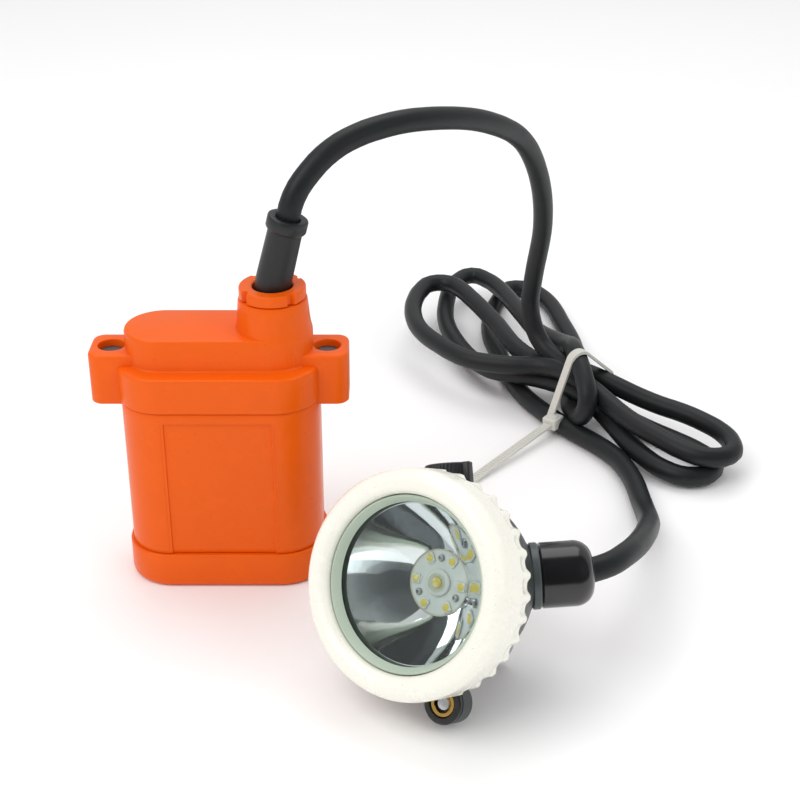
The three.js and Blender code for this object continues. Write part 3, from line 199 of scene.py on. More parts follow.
class Shader:
    """A material under construction."""

    def __init__(self, name):
        self.material = bpy.data.materials.new(name)
        self.material.use_nodes = True
        self.tree = self.material.node_tree
        self.tree.nodes.clear()
        self.out = self.tree.nodes.new("ShaderNodeOutputMaterial")

    def node(self, kind, inputs=(), output=0, **settings):
        made = self.tree.nodes.new(kind)
        for key, value in settings.items():
            setattr(made, key, value)
        pairs = inputs.items() if isinstance(inputs, dict) else enumerate(inputs)
        for key, value in pairs:
            if isinstance(value, Field):
                self.tree.links.new(value.socket, made.inputs[key])
            else:
                made.inputs[key].default_value = value
        return Field(self, made.outputs[output])

    def place(self, matrix=None):
        """Object coordinates in metres, or those of the frame that the matrix gives in millimetres."""
        point = self.node("ShaderNodeTexCoord", output=3)
        if matrix is None:
            return point
        back = matrix.inverted()
        return self.node("ShaderNodeMapping", {
            "Vector": point, "Location": back.translation * MM, "Rotation": back.to_euler()})

    def noise(self, point, scale, detail=3.0, roughness=0.55):
        return self.node("ShaderNodeTexNoise", {
            "Vector": point, "Scale": scale, "Detail": detail, "Roughness": roughness})

    def radius(self, point):
        """Distance from the frame's own Z axis, in metres."""
        flat = self.node("ShaderNodeVectorMath", [point, (1.0, 1.0, 0.0)], operation="MULTIPLY")
        return self.node("ShaderNodeVectorMath", [flat], output=1, operation="LENGTH")

    def axis(self, point, letter):
        return self.node("ShaderNodeSeparateXYZ", [point], output="XYZ".index(letter))

    def blend(self, factor, a, b):
        return self.node("ShaderNodeMix", {0: factor, 6: rgba(a), 7: rgba(b)}, output=2, data_type="RGBA")

    def bump(self, height, distance, strength=1.0):
        return self.node("ShaderNodeBump", {"Height": height, "Distance": distance, "Strength": strength})

    def principled(self, **inputs):
        """Connects or sets the surface shader's sockets, named with underscores for spaces."""
        named = {key.replace("_", " "): value for key, value in inputs.items()}
        surface = self.node("ShaderNodeBsdfPrincipled", named)
        self.tree.links.new(surface.socket, self.out.inputs["Surface"])
        return self.material


def rgba(value):
    return value if isinstance(value, Field) else (*value[:3], 1.0)


def tinted(value, factor):
    return tuple(min(1.0, channel * factor) for channel in value)


def moulded(name, base, roughness, grain=0.00003, scale=2600.0, mottle=0.10, coat=0.0, specular=0.5):
    """A moulded or rubber surface: faint mottling, fine grain, rubbed patches and a few specks."""
    make = Shader(name)
    point = make.place()
    cloud = make.noise(point, 42.0, 4.0)
    rubbed = make.noise(point, 130.0, 5.0, 0.65).above(0.52, 0.70)
    fine = make.noise(point, scale, 2.0)
    specks = make.noise(point, 1500.0, 1.0).above(0.735, 0.76)
    shade = make.blend(cloud, tinted(base, 1.0 - mottle), tinted(base, 1.0 + mottle))
    worn = make.blend(rubbed * 0.35, shade, tinted(base, 1.0 + 2.2 * mottle))
    dusty = make.blend(specks * 0.45, worn, tinted(base, 0.45))
    gloss = (cloud - 0.5) * 0.10 + (fine - 0.5) * 0.10 + rubbed * 0.07 + roughness
    return make.principled(
        Base_Color=dusty, Roughness=gloss, Specular_IOR_Level=specular,
        Coat_Weight=coat, Coat_Roughness=0.12, Normal=make.bump(fine + rubbed * 0.3, grain))


def metal(name, base, roughness, matrix=None, rings=9000.0):
    """A turned or brushed metal: fine concentric marks round the frame's axis, and light tarnish."""
    make = Shader(name)
    point = make.place(matrix)
    cloud = make.noise(point, 160.0, 4.0)
    marks = (make.radius(point) * rings).math("SINE") * 0.5 + 0.5
    scratch = make.noise(point, 1900.0, 3.0, 0.7)
    tone = make.blend(cloud, tinted(base, 0.80), tinted(base, 1.12))
    stained = make.blend(scratch.above(0.60, 0.72) * 0.35, tone, tinted(base, 0.45))
    gloss = cloud * 0.12 + marks * 0.06 + scratch * 0.10 + (roughness - 0.12)
    return make.principled(
        Base_Color=stained, Roughness=gloss, Metallic=1.0,
        Normal=make.bump(marks * 0.5 + scratch, 0.000008))


def chromed(name):
    """Vacuum-metallised reflector: mirror bright, with faint ripple rings and a little haze."""
    make = Shader(name)
    point = make.place(HEAD)
    reach = make.radius(point)
    ripple = (reach * 2600.0).math("SINE")
    haze = make.noise(point, 90.0, 4.0)
    dust = make.noise(point, 2400.0, 2.0).above(0.66, 0.74)
    return make.principled(
        Base_Color=make.blend(haze, (0.80, 0.82, 0.85), (0.93, 0.94, 0.96)),
        Roughness=haze * 0.05 + dust * 0.10 + 0.02, Metallic=1.0,
        Normal=make.bump(ripple * 0.06 + haze, 0.00002, 0.5))


def clear(name, tint, haze=0.0):
    """Clear glass or resin: what is behind it, with a reflection that grows towards its edges."""
    make = Shader(name)
    point = make.place()
    smear = make.noise(point, 70.0, 4.0)
    fine = make.noise(point, 1800.0, 2.0).above(0.66, 0.76)
    through = make.node("ShaderNodeBsdfTransparent", {"Color": (*tint, 1.0)})
    shine = make.node("ShaderNodeBsdfPrincipled", {
        "Base Color": (0.94, 0.96, 0.96, 1.0), "Roughness": smear * 0.05 + 0.01, "Metallic": 1.0})
    edgeways = make.node("ShaderNodeLayerWeight", {"Blend": 0.5}, output=1) ** 5.0
    mixed = make.node("ShaderNodeMixShader", [edgeways * 0.9 + fine * 0.02 + (haze + 0.03), through, shine])
    make.tree.links.new(mixed.socket, make.out.inputs["Surface"])
    return make.material


def board_face(name, base, trace):
    """A light source board: pale solder mask with rings of copper under it, and pads round the chips."""
    make = Shader(name)
    point = make.place(HEAD)
    reach = make.radius(point)
    cloud = make.noise(point, 220.0, 4.0)
    inner = reach.above(0.0093, 0.0095) * (1.0 - reach.above(0.0099, 0.0101))
    outer = reach.above(0.0116, 0.0118)
    fine = make.noise(point, 2600.0, 2.0)
    tone = make.blend(cloud, tinted(base, 0.88), tinted(base, 1.10))
    marked = make.blend(inner * 0.45 + outer * 0.25, tone, trace)
    return make.principled(
        Base_Color=marked, Roughness=cloud * 0.15 + 0.30,
        Normal=make.bump(inner + outer + fine * 0.3, 0.00004))


def phosphor(name, base):
    """A light source's phosphor: a bright matt square with slightly uneven grains."""
    make = Shader(name)
    point = make.place(HEAD)
    grains = make.noise(point, 4200.0, 3.0)
    cloud = make.noise(point, 500.0, 2.0)
    tone = make.blend(grains, tinted(base, 0.75), tinted(base, 1.25))
    return make.principled(
        Base_Color=make.blend(cloud.above(0.55, 0.7) * 0.5, tone, (0.80, 0.80, 0.62)),
        Roughness=grains * 0.3 + 0.25, Normal=make.bump(grains, 0.00003))


def cord_sheath(name, base):
    """The cord's rubber sheath: satin black, with drawn streaks, rubbed patches and dust."""
    make = Shader(name)
    point = make.place()
    cloud = make.noise(point, 28.0, 5.0)
    streaks = make.noise(point, 900.0, 4.0, 0.7)
    rubbed = make.noise(point, 75.0, 5.0, 0.7).above(0.54, 0.72)
    dust = make.noise(point, 2100.0, 1.0).above(0.72, 0.76)
    tone = make.blend(cloud, tinted(base, 0.75), tinted(base, 1.35))
    worn = make.blend(rubbed * 0.4, tone, tinted(base, 2.0))
    return make.principled(
        Base_Color=make.blend(dust * 0.5, worn, tinted(base, 3.2)),
        Roughness=cloud * 0.12 + streaks * 0.10 + rubbed * 0.08 + 0.33,
        Specular_IOR_Level=0.3, Normal=make.bump(streaks, 0.00004))


# ---- Mesh building, in millimetres ----

def outline(half, inset=0.0, stops=(), between=0):
    """A rounded rectangle, anticlockwise, with extra points at stops on its front or between corners."""
    x = half[0] - half[2]
    y = half[1] - half[2]
    corner = half[2] - inset
    corners = [(x, y), (-x, y), (-x, -y), (x, -y)]
    points = []
    for start, (cx, cy) in enumerate(corners):
        for i in range(CORNER_STEPS + 1):
            angle = math.pi / 2 * (start + i / CORNER_STEPS)
            points.append((cx + corner * math.cos(angle), cy + corner * math.sin(angle)))
        if start == 2:
            points.extend((stop, -half[1] + inset) for stop in stops)
        if between:
            here = Vector(points[-1])
            turn = math.pi / 2 * (start + 1)
            nx, ny = corners[(start + 1) % 4]
            there = Vector((nx + corner * math.cos(turn), ny + corner * math.sin(turn)))
            points.extend(tuple(here.lerp(there, k / (between + 1))) for k in range(1, between + 1))
    return points


def ring(bm, points):
    verts = [bm.verts.new(point) for point in points]
    return [bm.edges.new((a, b)) for a, b in zip(verts, verts[1:] + verts[:1])]


def loft(bm, rows, cap_first=True, cap_last=True):
    """Joins rows of points, each with the same count, into a skin, with its ends closed."""
    rings = [ring(bm, row) for row in rows]
    for a, b in zip(rings, rings[1:]):
        bmesh.ops.bridge_loops(bm, edges=a + b)
    if cap_first:
        bmesh.ops.contextual_create(bm, geom=rings[0])
    if cap_last:
        bmesh.ops.contextual_create(bm, geom=rings[-1])


def slab_rows(half, levels, stops=()):
    """Rows of a rounded slab from a list of (inset, height)."""
    return [[(x, y, z) for x, y in outline(half, inset, stops)] for inset, z in levels]


def turned(profile, steps=96, matrix=None):
    """A new mesh turned right round the Z axis from a profile of (radius, height)."""
    bm = bmesh.new()
    verts = [bm.verts.new((radius, 0.0, height)) for radius, height in profile]
    edges = [bm.edges.new(pair) for pair in zip(verts, verts[1:])]
    bmesh.ops.spin(bm, geom=verts + edges, axis=(0, 0, 1), cent=(0, 0, 0), angle=2 * math.pi,
                   steps=steps, use_merge=True)
    bmesh.ops.remove_doubles(bm, verts=bm.verts[:], dist=MERGE_GAP)
    if matrix is not None:
        bmesh.ops.transform(bm, matrix=matrix, verts=bm.verts[:])
    return bm


def merge(*meshes):
    """One mesh from several."""
    whole = bmesh.new()
    for part in meshes:
        spare = bpy.data.meshes.new("spare")
        part.to_mesh(spare)
        part.free()
        whole.from_mesh(spare)
        bpy.data.meshes.remove(spare)
    return whole


def block(low, high, bevel=0.0, segments=3, matrix=None):
    """A box between two corners with rounded edges."""
    bm = bmesh.new()
    bmesh.ops.create_cube(bm, size=1.0)
    low = Vector(low)
    high = Vector(high)
    size = Matrix.Diagonal((*(high - low), 1.0))
    bmesh.ops.transform(bm, matrix=Matrix.Translation((low + high) / 2) @ size, verts=bm.verts[:])
    if bevel:
        bmesh.ops.bevel(bm, geom=bm.edges[:], offset=bevel, segments=segments, profile=0.5,
                        affect="EDGES", material=-1)
    if matrix is not None:
        bmesh.ops.transform(bm, matrix=matrix, verts=bm.verts[:])
    return bm


def swept(stations, sides=48):
    """A skin over circles given as (centre, direction, radius)."""
    bm = bmesh.new()
    rows = []
    for centre, direction, radius in stations:
        turn = Vector((0, 0, 1)).rotation_difference(Vector(direction).normalized()).to_matrix()
        row = []
        for i in range(sides):
            angle = 2 * math.pi * i / sides
            spoke = Vector((radius * math.cos(angle), radius * math.sin(angle), 0))
            row.append(Vector(centre) + turn @ spoke)
        rows.append(row)
    loft(bm, rows)
    return bm


def arc_profile(centre, radii, start, end, steps=6):
    """Points of a quarter or other arc in a profile, angles in degrees."""
    points = []
    for i in range(steps + 1):
        angle = math.radians(start + (end - start) * i / steps)
        points.append((centre[0] + radii[0] * math.cos(angle), centre[1] + radii[1] * math.sin(angle)))
    return points


def add_piece(name, bm, material, slot, *nodes, body=BODY, matrix=None, sharp=0.6):
    """Finishes a mesh as a named piece that rides on a body and stands for CAD nodes."""
    if matrix is not None:
        bmesh.ops.transform(bm, matrix=matrix, verts=bm.verts[:])
    bmesh.ops.remove_doubles(bm, verts=bm.verts[:], dist=MERGE_GAP)
    bmesh.ops.recalc_face_normals(bm, faces=bm.faces[:])
    for face in bm.faces:
        face.smooth = True
    for edge in bm.edges:
        if len(edge.link_faces) == 2 and edge.calc_face_angle() > sharp:
            edge.smooth = False
    bmesh.ops.scale(bm, vec=(MM, MM, MM), verts=bm.verts[:])
    mesh = bpy.data.meshes.new(name)
    bm.to_mesh(mesh)
    bm.free()
    mesh.materials.append(material)
    return place_object(name, mesh, nodes, body)


def place_object(name, data, nodes, body):
    made = bpy.data.objects.new(name, data)
    bpy.context.scene.collection.objects.link(made)
    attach(made, body)
    if nodes:
        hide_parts(*nodes)
    return made


def repaint(material, *names):
    """Gives carried-over CAD nodes a material."""
    for name in names:
        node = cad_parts[name]
        if node.material_slots:
            node.material_slots[0].material = material
        else:
            node.data.materials.append(material)


def settings(context):
    return context.scene.cap_lamp_sizes, context.scene.cap_lamp_colours


# ---- Cord ----

ARC = [
    (29.5, 3, 137), (39, 9.5, 144.5), (54, 20.5, 147.5), (71, 36, 145), (88, 57, 137), (102, 79.5, 123),
    (110.5, 98.5, 101), (113.5, 112, 78), (112, 122, 54), (111.5, 127, 36), (115, 123, 24),
]
LOOP_E = [
    (124, 112, 18), (138, 101, 16.5), (156, 90, 12.5), (172, 79.5, 11), (182.2, 66, 10), (181.5, 51, 10),
    (170, 48, 10), (157, 58, 11), (144, 73, 12), (134, 90, 13),
]
LOOP_A = [
    (119, 108.5, 14), (103, 112, 15), (87, 118, 16), (75.5, 131, 17), (66.5, 148, 17.5), (64, 170, 18),
    (69, 190.5, 18.3), (76.4, 197.5, 18.5), (84.5, 190, 18.5), (91, 176, 18.5), (99, 155, 18.3),
    (108, 130, 17.5),
]
LOOP_F = [
    (129, 108, 14), (144, 92, 8), (160, 79, 4.5), (172, 66, 4), (176, 54, 4), (168, 45.5, 4),
    (156, 49.5, 4), (145, 64, 4.5), (136, 82, 6),
]
LOOP_B = [
    (124, 101, 7), (113, 113, 5), (100, 121.5, 4), (91, 135, 4), (84, 154, 5), (79, 172, 8),
    (79.5, 194, 10), (84, 213, 11), (91.5, 221, 11.4), (99.5, 214, 11.6), (105.5, 199, 12), (111.5, 174, 13),
    (117, 149, 14),
]
WRAP = [
    (126.5, 121, 18), (127.5, 106, 22), (129, 93.5, 21), (131, 83, 15.5), (131, 78, 9), (129.5, 81, 4.3),
    (128, 91, 4),
]
LOOP_C = [
    (128, 104, 4), (132.5, 130, 4), (134.4, 158, 4), (131.5, 182, 4), (127, 207, 4), (119.5, 221, 4),
    (111.5, 223.5, 4), (104.5, 210, 4), (99.5, 190, 4), (98.5, 168, 4), (102, 148, 4),
]
TAIL_JOIN = [(106, 127, 4), (113, 110, 4), (122, 97, 4), (131, 84.5, 4), (139, 72, 3.8)]
TAIL = [
    (143.3, 62.5, 3.8), (145.8, 50.5, 3.8), (146.6, 41.3, 3.8), (146.6, 31.9, 3.9), (146.4, 21, 5.2),
    (145.3, 9.5, 9), (143.4, -2, 14.2), (141, -12.5, 19.2), (137.7, -26, 25.4), (132.6, -41.5, 31.4),
    (127.4, -52.4, 35), (121.6, -60, 36.6),
]
GLAND_MOUTH = 43.4
TIE_CENTRE = np.array((128.0, 95.0))
TIE_TURN = math.radians(30.0)
TIE_REACH = (16.0, 30.0)
TIE_LOCK = (118.5, 86.5, 6.0)
TIE_END = (84, 48, 1.2)


def boot_axis():
    return Vector((math.sin(BOOT_LEAN), 0.0, math.cos(BOOT_LEAN)))


def boot_top(extra=0.0):
    return Vector((TOWER_X, 0.0, NUT_TOP)) + boot_axis() * (BOOT_LENGTH + extra)


def route_points():
    """The cord's route from the boot to the lamp's gland, through given points."""
    mouth = [GLAND @ Vector((0, 0, GLAND_MOUTH + out)) for out in (1.0, -2.5)]
    start = [boot_top(-3.0), boot_top(1.5), boot_top(6.0)]
    path = [tuple(p) for p in start] + ARC + LOOP_E + LOOP_A + LOOP_F + LOOP_B + WRAP
    return np.array(path + LOOP_C + TAIL_JOIN + TAIL + [tuple(p) for p in mouth], dtype=float)


def smooth_through(points, spacing):
    """An evenly spaced centripetal Catmull-Rom path through the points."""
    padded = np.vstack([2 * points[0] - points[1], points, 2 * points[-1] - points[-2]])
    dense = []
    for p0, p1, p2, p3 in zip(padded, padded[1:], padded[2:], padded[3:]):
        t = np.cumsum([0.0] + [np.sqrt(np.linalg.norm(b - a)) for a, b in ((p0, p1), (p1, p2), (p2, p3))])
        for u in np.linspace(t[1], t[2], 12, endpoint=False):
            a1 = (t[1] - u) / (t[1] - t[0]) * p0 + (u - t[0]) / (t[1] - t[0]) * p1
            a2 = (t[2] - u) / (t[2] - t[1]) * p1 + (u - t[1]) / (t[2] - t[1]) * p2
            a3 = (t[3] - u) / (t[3] - t[2]) * p2 + (u - t[2]) / (t[3] - t[2]) * p3
            b1 = (t[2] - u) / (t[2] - t[0]) * a1 + (u - t[0]) / (t[2] - t[0]) * a2
            b2 = (t[3] - u) / (t[3] - t[1]) * a2 + (u - t[1]) / (t[3] - t[1]) * a3
            dense.append((t[2] - u) / (t[2] - t[1]) * b1 + (u - t[1]) / (t[2] - t[1]) * b2)
    dense.append(points[-1])
    dense = np.array(dense)
    reach = np.concatenate([[0.0], np.cumsum(np.linalg.norm(np.diff(dense, axis=0), axis=1))])
    stops = np.linspace(0.0, reach[-1], int(reach[-1] / spacing) + 1)
    return np.stack([np.interp(stops, reach, dense[:, k]) for k in range(3)], axis=1)


def settle(path, diameter, rounds=500):
    """Lets strands that lie in each other push apart, and keeps them off the floor."""
    count = len(path)
    rest = path.copy()
    moved = np.zeros_like(path)
    spacing = np.linalg.norm(path[1] - path[0])
    apart = np.abs(np.subtract.outer(np.arange(count), np.arange(count))) * spacing > 2.2 * diameter
    hold = np.clip(np.minimum(np.arange(count), count - 1 - np.arange(count)) * spacing / 40.0, 0.0, 1.0)
    for _ in range(rounds):
        now = rest + moved
        gap = now[:, None, :] - now[None, :, :]
        distance = np.linalg.norm(gap, axis=2) + 1e-9
        short = np.clip(diameter * 1.01 - distance, 0.0, None) * apart
        push = (gap / distance[:, :, None] * short[:, :, None]).sum(axis=1)
        crowd = np.maximum((short > 0).sum(axis=1), 1)
        step = 0.45 * push / crowd[:, None] ** 0.5
        step[:, :2] *= 0.55
        moved += step
        mean = (moved[:-2] + moved[2:]) / 2
        moved[1:-1] += 0.32 * (mean - moved[1:-1])
        moved *= hold[:, None] ** 0.02
        low = diameter / 2 + 0.05 - (rest + moved)[:, 2]
        moved[:, 2] += np.clip(low, 0.0, None) * (hold > 0)
        moved[hold == 0] = 0.0
    return rest + moved


def cord_path(diameter):
    """The centreline of the laid cord, as points an even step apart."""
    return settle(smooth_through(route_points(), CORD_STEP), diameter)


def hull_of(points):
    """The convex hull of flat points, anticlockwise."""
    ordered = sorted(map(tuple, points))

    def half(items):
        chain = []
        for p in items:
            while len(chain) > 1 and (
                (chain[-1][0] - chain[-2][0]) * (p[1] - chain[-2][1])
                - (chain[-1][1] - chain[-2][1]) * (p[0] - chain[-2][0])
            ) <= 0:
                chain.pop()
            chain.append(p)
        return chain[:-1]

    return half(ordered) + half(ordered[::-1])


def strap_path(path, diameter, thickness):
    """The tie's loop: a tight line round every strand where they cross its plane."""
    across = np.array((math.cos(TIE_TURN), math.sin(TIE_TURN)))
    normal = np.array((across[1], -across[0]))
    side = (path[:, :2] - TIE_CENTRE) @ normal
    circles = []
    for i in range(len(path) - 1):
        if side[i] * side[i + 1] > 0:
            continue
        u = side[i] / (side[i] - side[i + 1])
        point = path[i] + u * (path[i + 1] - path[i])
        t = (point[:2] - TIE_CENTRE) @ across
        if abs(t) > TIE_REACH[0] or point[2] > TIE_REACH[1]:
            continue
        lean = abs((path[i + 1] - path[i])[:2] @ normal) / np.linalg.norm(path[i + 1] - path[i])
        wide = (diameter / 2) / max(lean, 0.45)
        for angle in np.linspace(0, 2 * math.pi, 28, endpoint=False):
            circles.append((
                t + (wide + thickness * 0.5) * math.cos(angle),
                max(point[2] + (diameter / 2 + thickness * 0.5) * math.sin(angle), thickness * 0.55),
            ))
    hull = hull_of(circles)
    return [Vector((*(TIE_CENTRE + t * across), z)) for t, z in hull], Vector((*normal, 0.0))


class CAPLAMP_OT_cord(bpy.types.Operator):
    """Lays the cord from the battery pack, through its tied bundle, to the lamp head"""
    bl_idname = "caplamp.cord"
    bl_label = "Cord and cable tie"

    def execute(self, context):
        sizes, colours = settings(context)
        diameter = sizes.cord_diameter / MM
        path = cord_path(diameter)
        curve = bpy.data.curves.new("cord", "CURVE")
        curve.dimensions = "3D"
        curve.bevel_depth = sizes.cord_diameter / 2
        curve.bevel_resolution = 7
        curve.use_fill_caps = True
        curve.resolution_u = 3
        curve.render_resolution_u = 3
        line = curve.splines.new("BEZIER")
        knots = path[::KNOT_STEP]
        if (len(path) - 1) % KNOT_STEP:
            knots = np.vstack([knots, path[-1:]])
        line.bezier_points.add(len(knots) - 1)
        for knot, place in zip(line.bezier_points, knots):
            knot.co = Vector(place) * MM
            knot.handle_left_type = "AUTO"
            knot.handle_right_type = "AUTO"
        curve.materials.append(cord_sheath("cord_rubber", colours.cord))
        cord = place_object("cord", curve,
                            ("cord_arc", "cord_bundle_left", "cord_bundle_right", "cord_tail"), BODY)
        tie = self.add_tie(path, sizes, colours)
        return {"FINISHED"}

    def add_tie(self, path, sizes, colours):
        thickness = sizes.strap_thickness / MM
        width = sizes.strap_width / MM
        loop, normal = strap_path(path, sizes.cord_diameter / MM, thickness)
        bm = bmesh.new()
        centre = sum(loop, Vector()) / len(loop)
        rows = []
        for side, out in ((-1, -1), (-1, 1), (1, 1), (1, -1)):
            row = []
            for point in loop:
                outward = (point - centre).normalized()
                row.append(point + normal * side * width / 2 + outward * out * thickness / 2)
            rows.append(row)
        loft(bm, rows + rows[:1], cap_first=False, cap_last=False)
        lock = Vector(TIE_LOCK)
        end = Vector(TIE_END)
        run = end - lock
        turn = Matrix.Translation(lock) @ run.to_track_quat("X", "Z").to_matrix().to_4x4()
        head = block((-3.4, -3.1, -2.2), (3.0, 3.1, 2.4), 0.7, 3, turn)
        window = block((-1.5, -2.1, 2.2), (1.4, 2.1, 2.75), 0.3, 2, turn)
        face = thickness / 2
        strap = block((0, -width / 2, -face), (run.length, width / 2, face), 0.25, 2, turn)
        teeth = []
        for i in range(int(run.length / TOOTH_PITCH) - 4):
            x = 4.5 + TOOTH_PITCH * i
            low = (x, -width * 0.3, face - 0.1)
            high = (x + 0.7, width * 0.3, face + 0.2)
            teeth.append(block(low, high, 0.0, 1, turn))
        return add_piece("cable_tie_strap", merge(bm, head, window, strap, *teeth),
                         moulded("tie_nylon", colours.nylon, 0.38, 0.00002, 2200.0, 0.06),
                         "tie_nylon", "cable_tie")


# ---- Battery pack ----

class CAPLAMP_OT_pack(bpy.types.Operator):
    """Builds the battery pack's base cap, case and lid"""
    bl_idname = "caplamp.pack"
    bl_label = "Battery pack"

    def execute(self, context):
        sizes, colours = settings(context)
        fillet = sizes.edge_fillet / MM
        orange = moulded("orange_plastic", colours.orange, 0.30, 0.000022, 2300.0, 0.05, specular=0.2)
        self.add_base(orange)
        self.add_case(orange)
        self.add_lid(orange, fillet)
        self.add_nut(orange)
        return {"FINISHED"}

    def add_base(self, orange):
        bm = bmesh.new()
        foot = [(2.2, 0.0), (1.3, 0.18), (0.65, 0.6), (0.25, 1.2), (0.0, 2.2)]
        rim = [(0.0, 12.0), (0.1, 12.3), (0.35, 12.5), (1.15, 12.5)]
        loft(bm, slab_rows(BASE_HALF, foot + rim))
        add_piece("base_cap_body", bm, orange, "orange_plastic", "base_cap")

    def add_case(self, orange):
        panel = PANEL_HALF
        top = PANEL_TOP
        stops = [-panel - 0.2, -panel, -panel + 0.25, -8.0, 8.0, panel - 0.25, panel, panel + 0.2]
        levels = [
            (1.0, 12.5), (0.15, 12.75), (0.0, 13.0), (0.0, 14.5), (0.0, 38.0), (0.0, top - 0.25),
            (0.0, top), (0.0, top + 0.2), (0.0, 64.6), (0.15, 64.9), (0.5, 65.1)]
        bm = bmesh.new()
        loft(bm, slab_rows(CASE_HALF, levels, stops))
        for vert in bm.verts:
            x, y, z = vert.co
            if y < -CASE_HALF[1] + 1.5 and abs(x) < panel - 0.1 and z < top - 0.1:
                vert.co.y += PANEL_RECESS
        lugs = [
            block((31.0, -6.2, 63.8), (39.4, 6.2, 74.0), 0.4),
            block((-39.4, -6.2, 63.8), (-31.0, 6.2, 74.0), 0.4),
        ]
        lines = [
            block((-18.35, -18.28, 14.0), (-18.15, -17.9, PANEL_TOP), 0.05, 1),
            block((17.75, -18.3, 14.0), (17.95, -17.9, PANEL_TOP), 0.05, 1),
        ]
        add_piece("battery_case_body", merge(bm, *lugs, *lines), orange, "orange_plastic",
                  "battery_case")

    def add_ear(self, side):
        """An ear of the lid with its screw hole: side 1 is the right one, and -1 is its mirror image."""
        half = (9.85, 8.5, 4.0)
        wall = 2.0
        centre = Vector((41.7 - half[0], 0.0, 0.0))
        screw = Vector((34.8, 0.0, 0.0))
        rows = []
        for inset, z in (
            (wall, 74.4), (wall, 63.9), (wall - 0.3, 63.7), (0.3, 63.7), (0.0, 64.0), (0.0, 79.9),
            (0.12, 80.4), (0.4, 80.8), (0.9, 81.0),
        ):
            rows.append([centre + Vector((x, y, z)) for x, y in outline(half, inset, between=10)])
        edge = rows[-1]
        for radius, z in (
            (4.75, 81.0), (4.5, 80.92), (4.38, 80.7), (4.3, 80.3), (4.25, 77.2), (4.1, 77.0),
            (2.2, 77.0), (2.2, 74.6),
        ):
            row = []
            for point in edge:
                away = Vector((point.x - screw.x, point.y, 0.0)).normalized()
                row.append(screw + away * radius + Vector((0, 0, z)))
            rows.append(row)
        bm = bmesh.new()
        loft(bm, rows)
        bmesh.ops.scale(bm, vec=(side, 1.0, 1.0), verts=bm.verts[:])
        return bm

    def add_lid(self, orange, fillet):
        flange = bmesh.new()
        loft(flange, slab_rows(FLANGE_HALF, [
            (1.2, 65.25), (0.2, 65.3), (0.0, 65.5), (0.0, FLANGE_TOP - fillet),
            (0.12, FLANGE_TOP - 0.45 * fillet), (0.42, FLANGE_TOP - 0.12 * fillet), (fillet, FLANGE_TOP)]))
        tier = bmesh.new()
        loft(tier, slab_rows(TIER_HALF, [
            (-0.5, 77.2), (-0.15, 77.5), (0.0, 78.0), (0.0, 86.9), (0.14, 87.4), (0.45, 87.78),
            (1.0, 87.9)]))
        tower = turned([
            (0.0, 77.0), (12.5, 77.0), (12.48, 86.8), (12.2, 88.1), (11.9, 89.5), (11.65, 91.5),
            (11.4, 94.5), (11.12, 97.3), (10.98, 97.7), (10.6, 97.95), (10.2, 98.0), (8.4, 98.0),
            (8.1, 97.7), (8.1, 88.2), (5.0, 88.0), (5.0, 86.0), (0.0, 86.0)], 96, TOWER)
        add_piece("case_lid_body", merge(flange, tier, tower, self.add_ear(-1), self.add_ear(1)),
                  orange, "orange_plastic", "case_lid")

    def add_nut(self, orange):
        bm = turned([
            (7.8, 93.5), (7.8, 98.3), (10.4, 98.3), (10.7, 98.6), (10.7, 101.4), (10.58, 101.75),
            (10.3, NUT_TOP), (6.9, NUT_TOP), (6.5, 101.7), (6.45, 101.2), (6.45, 93.5), (7.8, 93.5)], 120)
        for vert in bm.verts:
            angle = math.degrees(math.atan2(vert.co.y, vert.co.x)) - (NUT_NOTCH_TURN - 90.0)
            off = abs((angle + 45.0) % 90.0 - 45.0)
            reach = math.hypot(vert.co.x, vert.co.y)
            if off < 5.9 and reach > NUT_NOTCH_FLOOR:
                vert.co.x *= NUT_NOTCH_FLOOR / reach
                vert.co.y *= NUT_NOTCH_FLOOR / reach
        add_piece("pack_gland_nut_body", bm, orange, "orange_plastic", "pack_gland_nut",
                  matrix=TOWER, sharp=0.45)


class CAPLAMP_OT_boot(bpy.types.Operator):
    """Builds the rubber boot that holds the cord on the battery pack"""
    bl_idname = "caplamp.boot"
    bl_label = "Cord boot"

    def execute(self, context):
        _, colours = settings(context)
        rubber = moulded("boot_rubber", tinted(colours.cord, 0.8), 0.42, 0.00004, 1700.0, 0.18)
        stations = [
            ((TOWER_X, 0, 90.1), (0, 0, 1), 7.3), ((TOWER_X, 0, 92.0), (0, 0, 1), 7.4),
            ((TOWER_X, 0, 92.1), (0, 0, 1), 6.1), ((TOWER_X, 0, BOOT_SEAT), (0, 0, 1), BOOT_RADIUS),
        ]
        bend = 10
        for i in range(bend + 1):
            lean = BOOT_LEAN * i / bend
            travel = 9.0 * i / bend
            middle = lean / 2
            centre = Vector((TOWER_X + travel * math.sin(middle), 0, BOOT_SEAT + travel * math.cos(middle)))
            stations.append((centre, (math.sin(lean), 0, math.cos(lean)), BOOT_RADIUS - 0.3 * i / bend))
        top = boot_top()
        axis = boot_axis()
        for back, radius in (
            (5.6, 5.5), (4.6, 5.55), (4.35, 5.9), (4.1, 6.3), (3.7, 6.5), (0.6, 6.5), (0.2, 6.35),
            (0.0, 6.0), (0.0, 4.4), (0.25, 4.0), (1.5, 3.95),
        ):
            stations.append((top - axis * back, axis, radius))
        add_piece("cord_boot_body", swept(stations, 64), rubber, "black_rubber", "cord_boot")
        return {"FINISHED"}


# ---- Lamp head ----

def bowl_radius(depth):
    """The housing's outer radius at a depth behind the bezel's face."""
    along = max(0.0, (depth - 14.0) / 33.6)
    return 29.6 - 14.4 * along ** 1.8


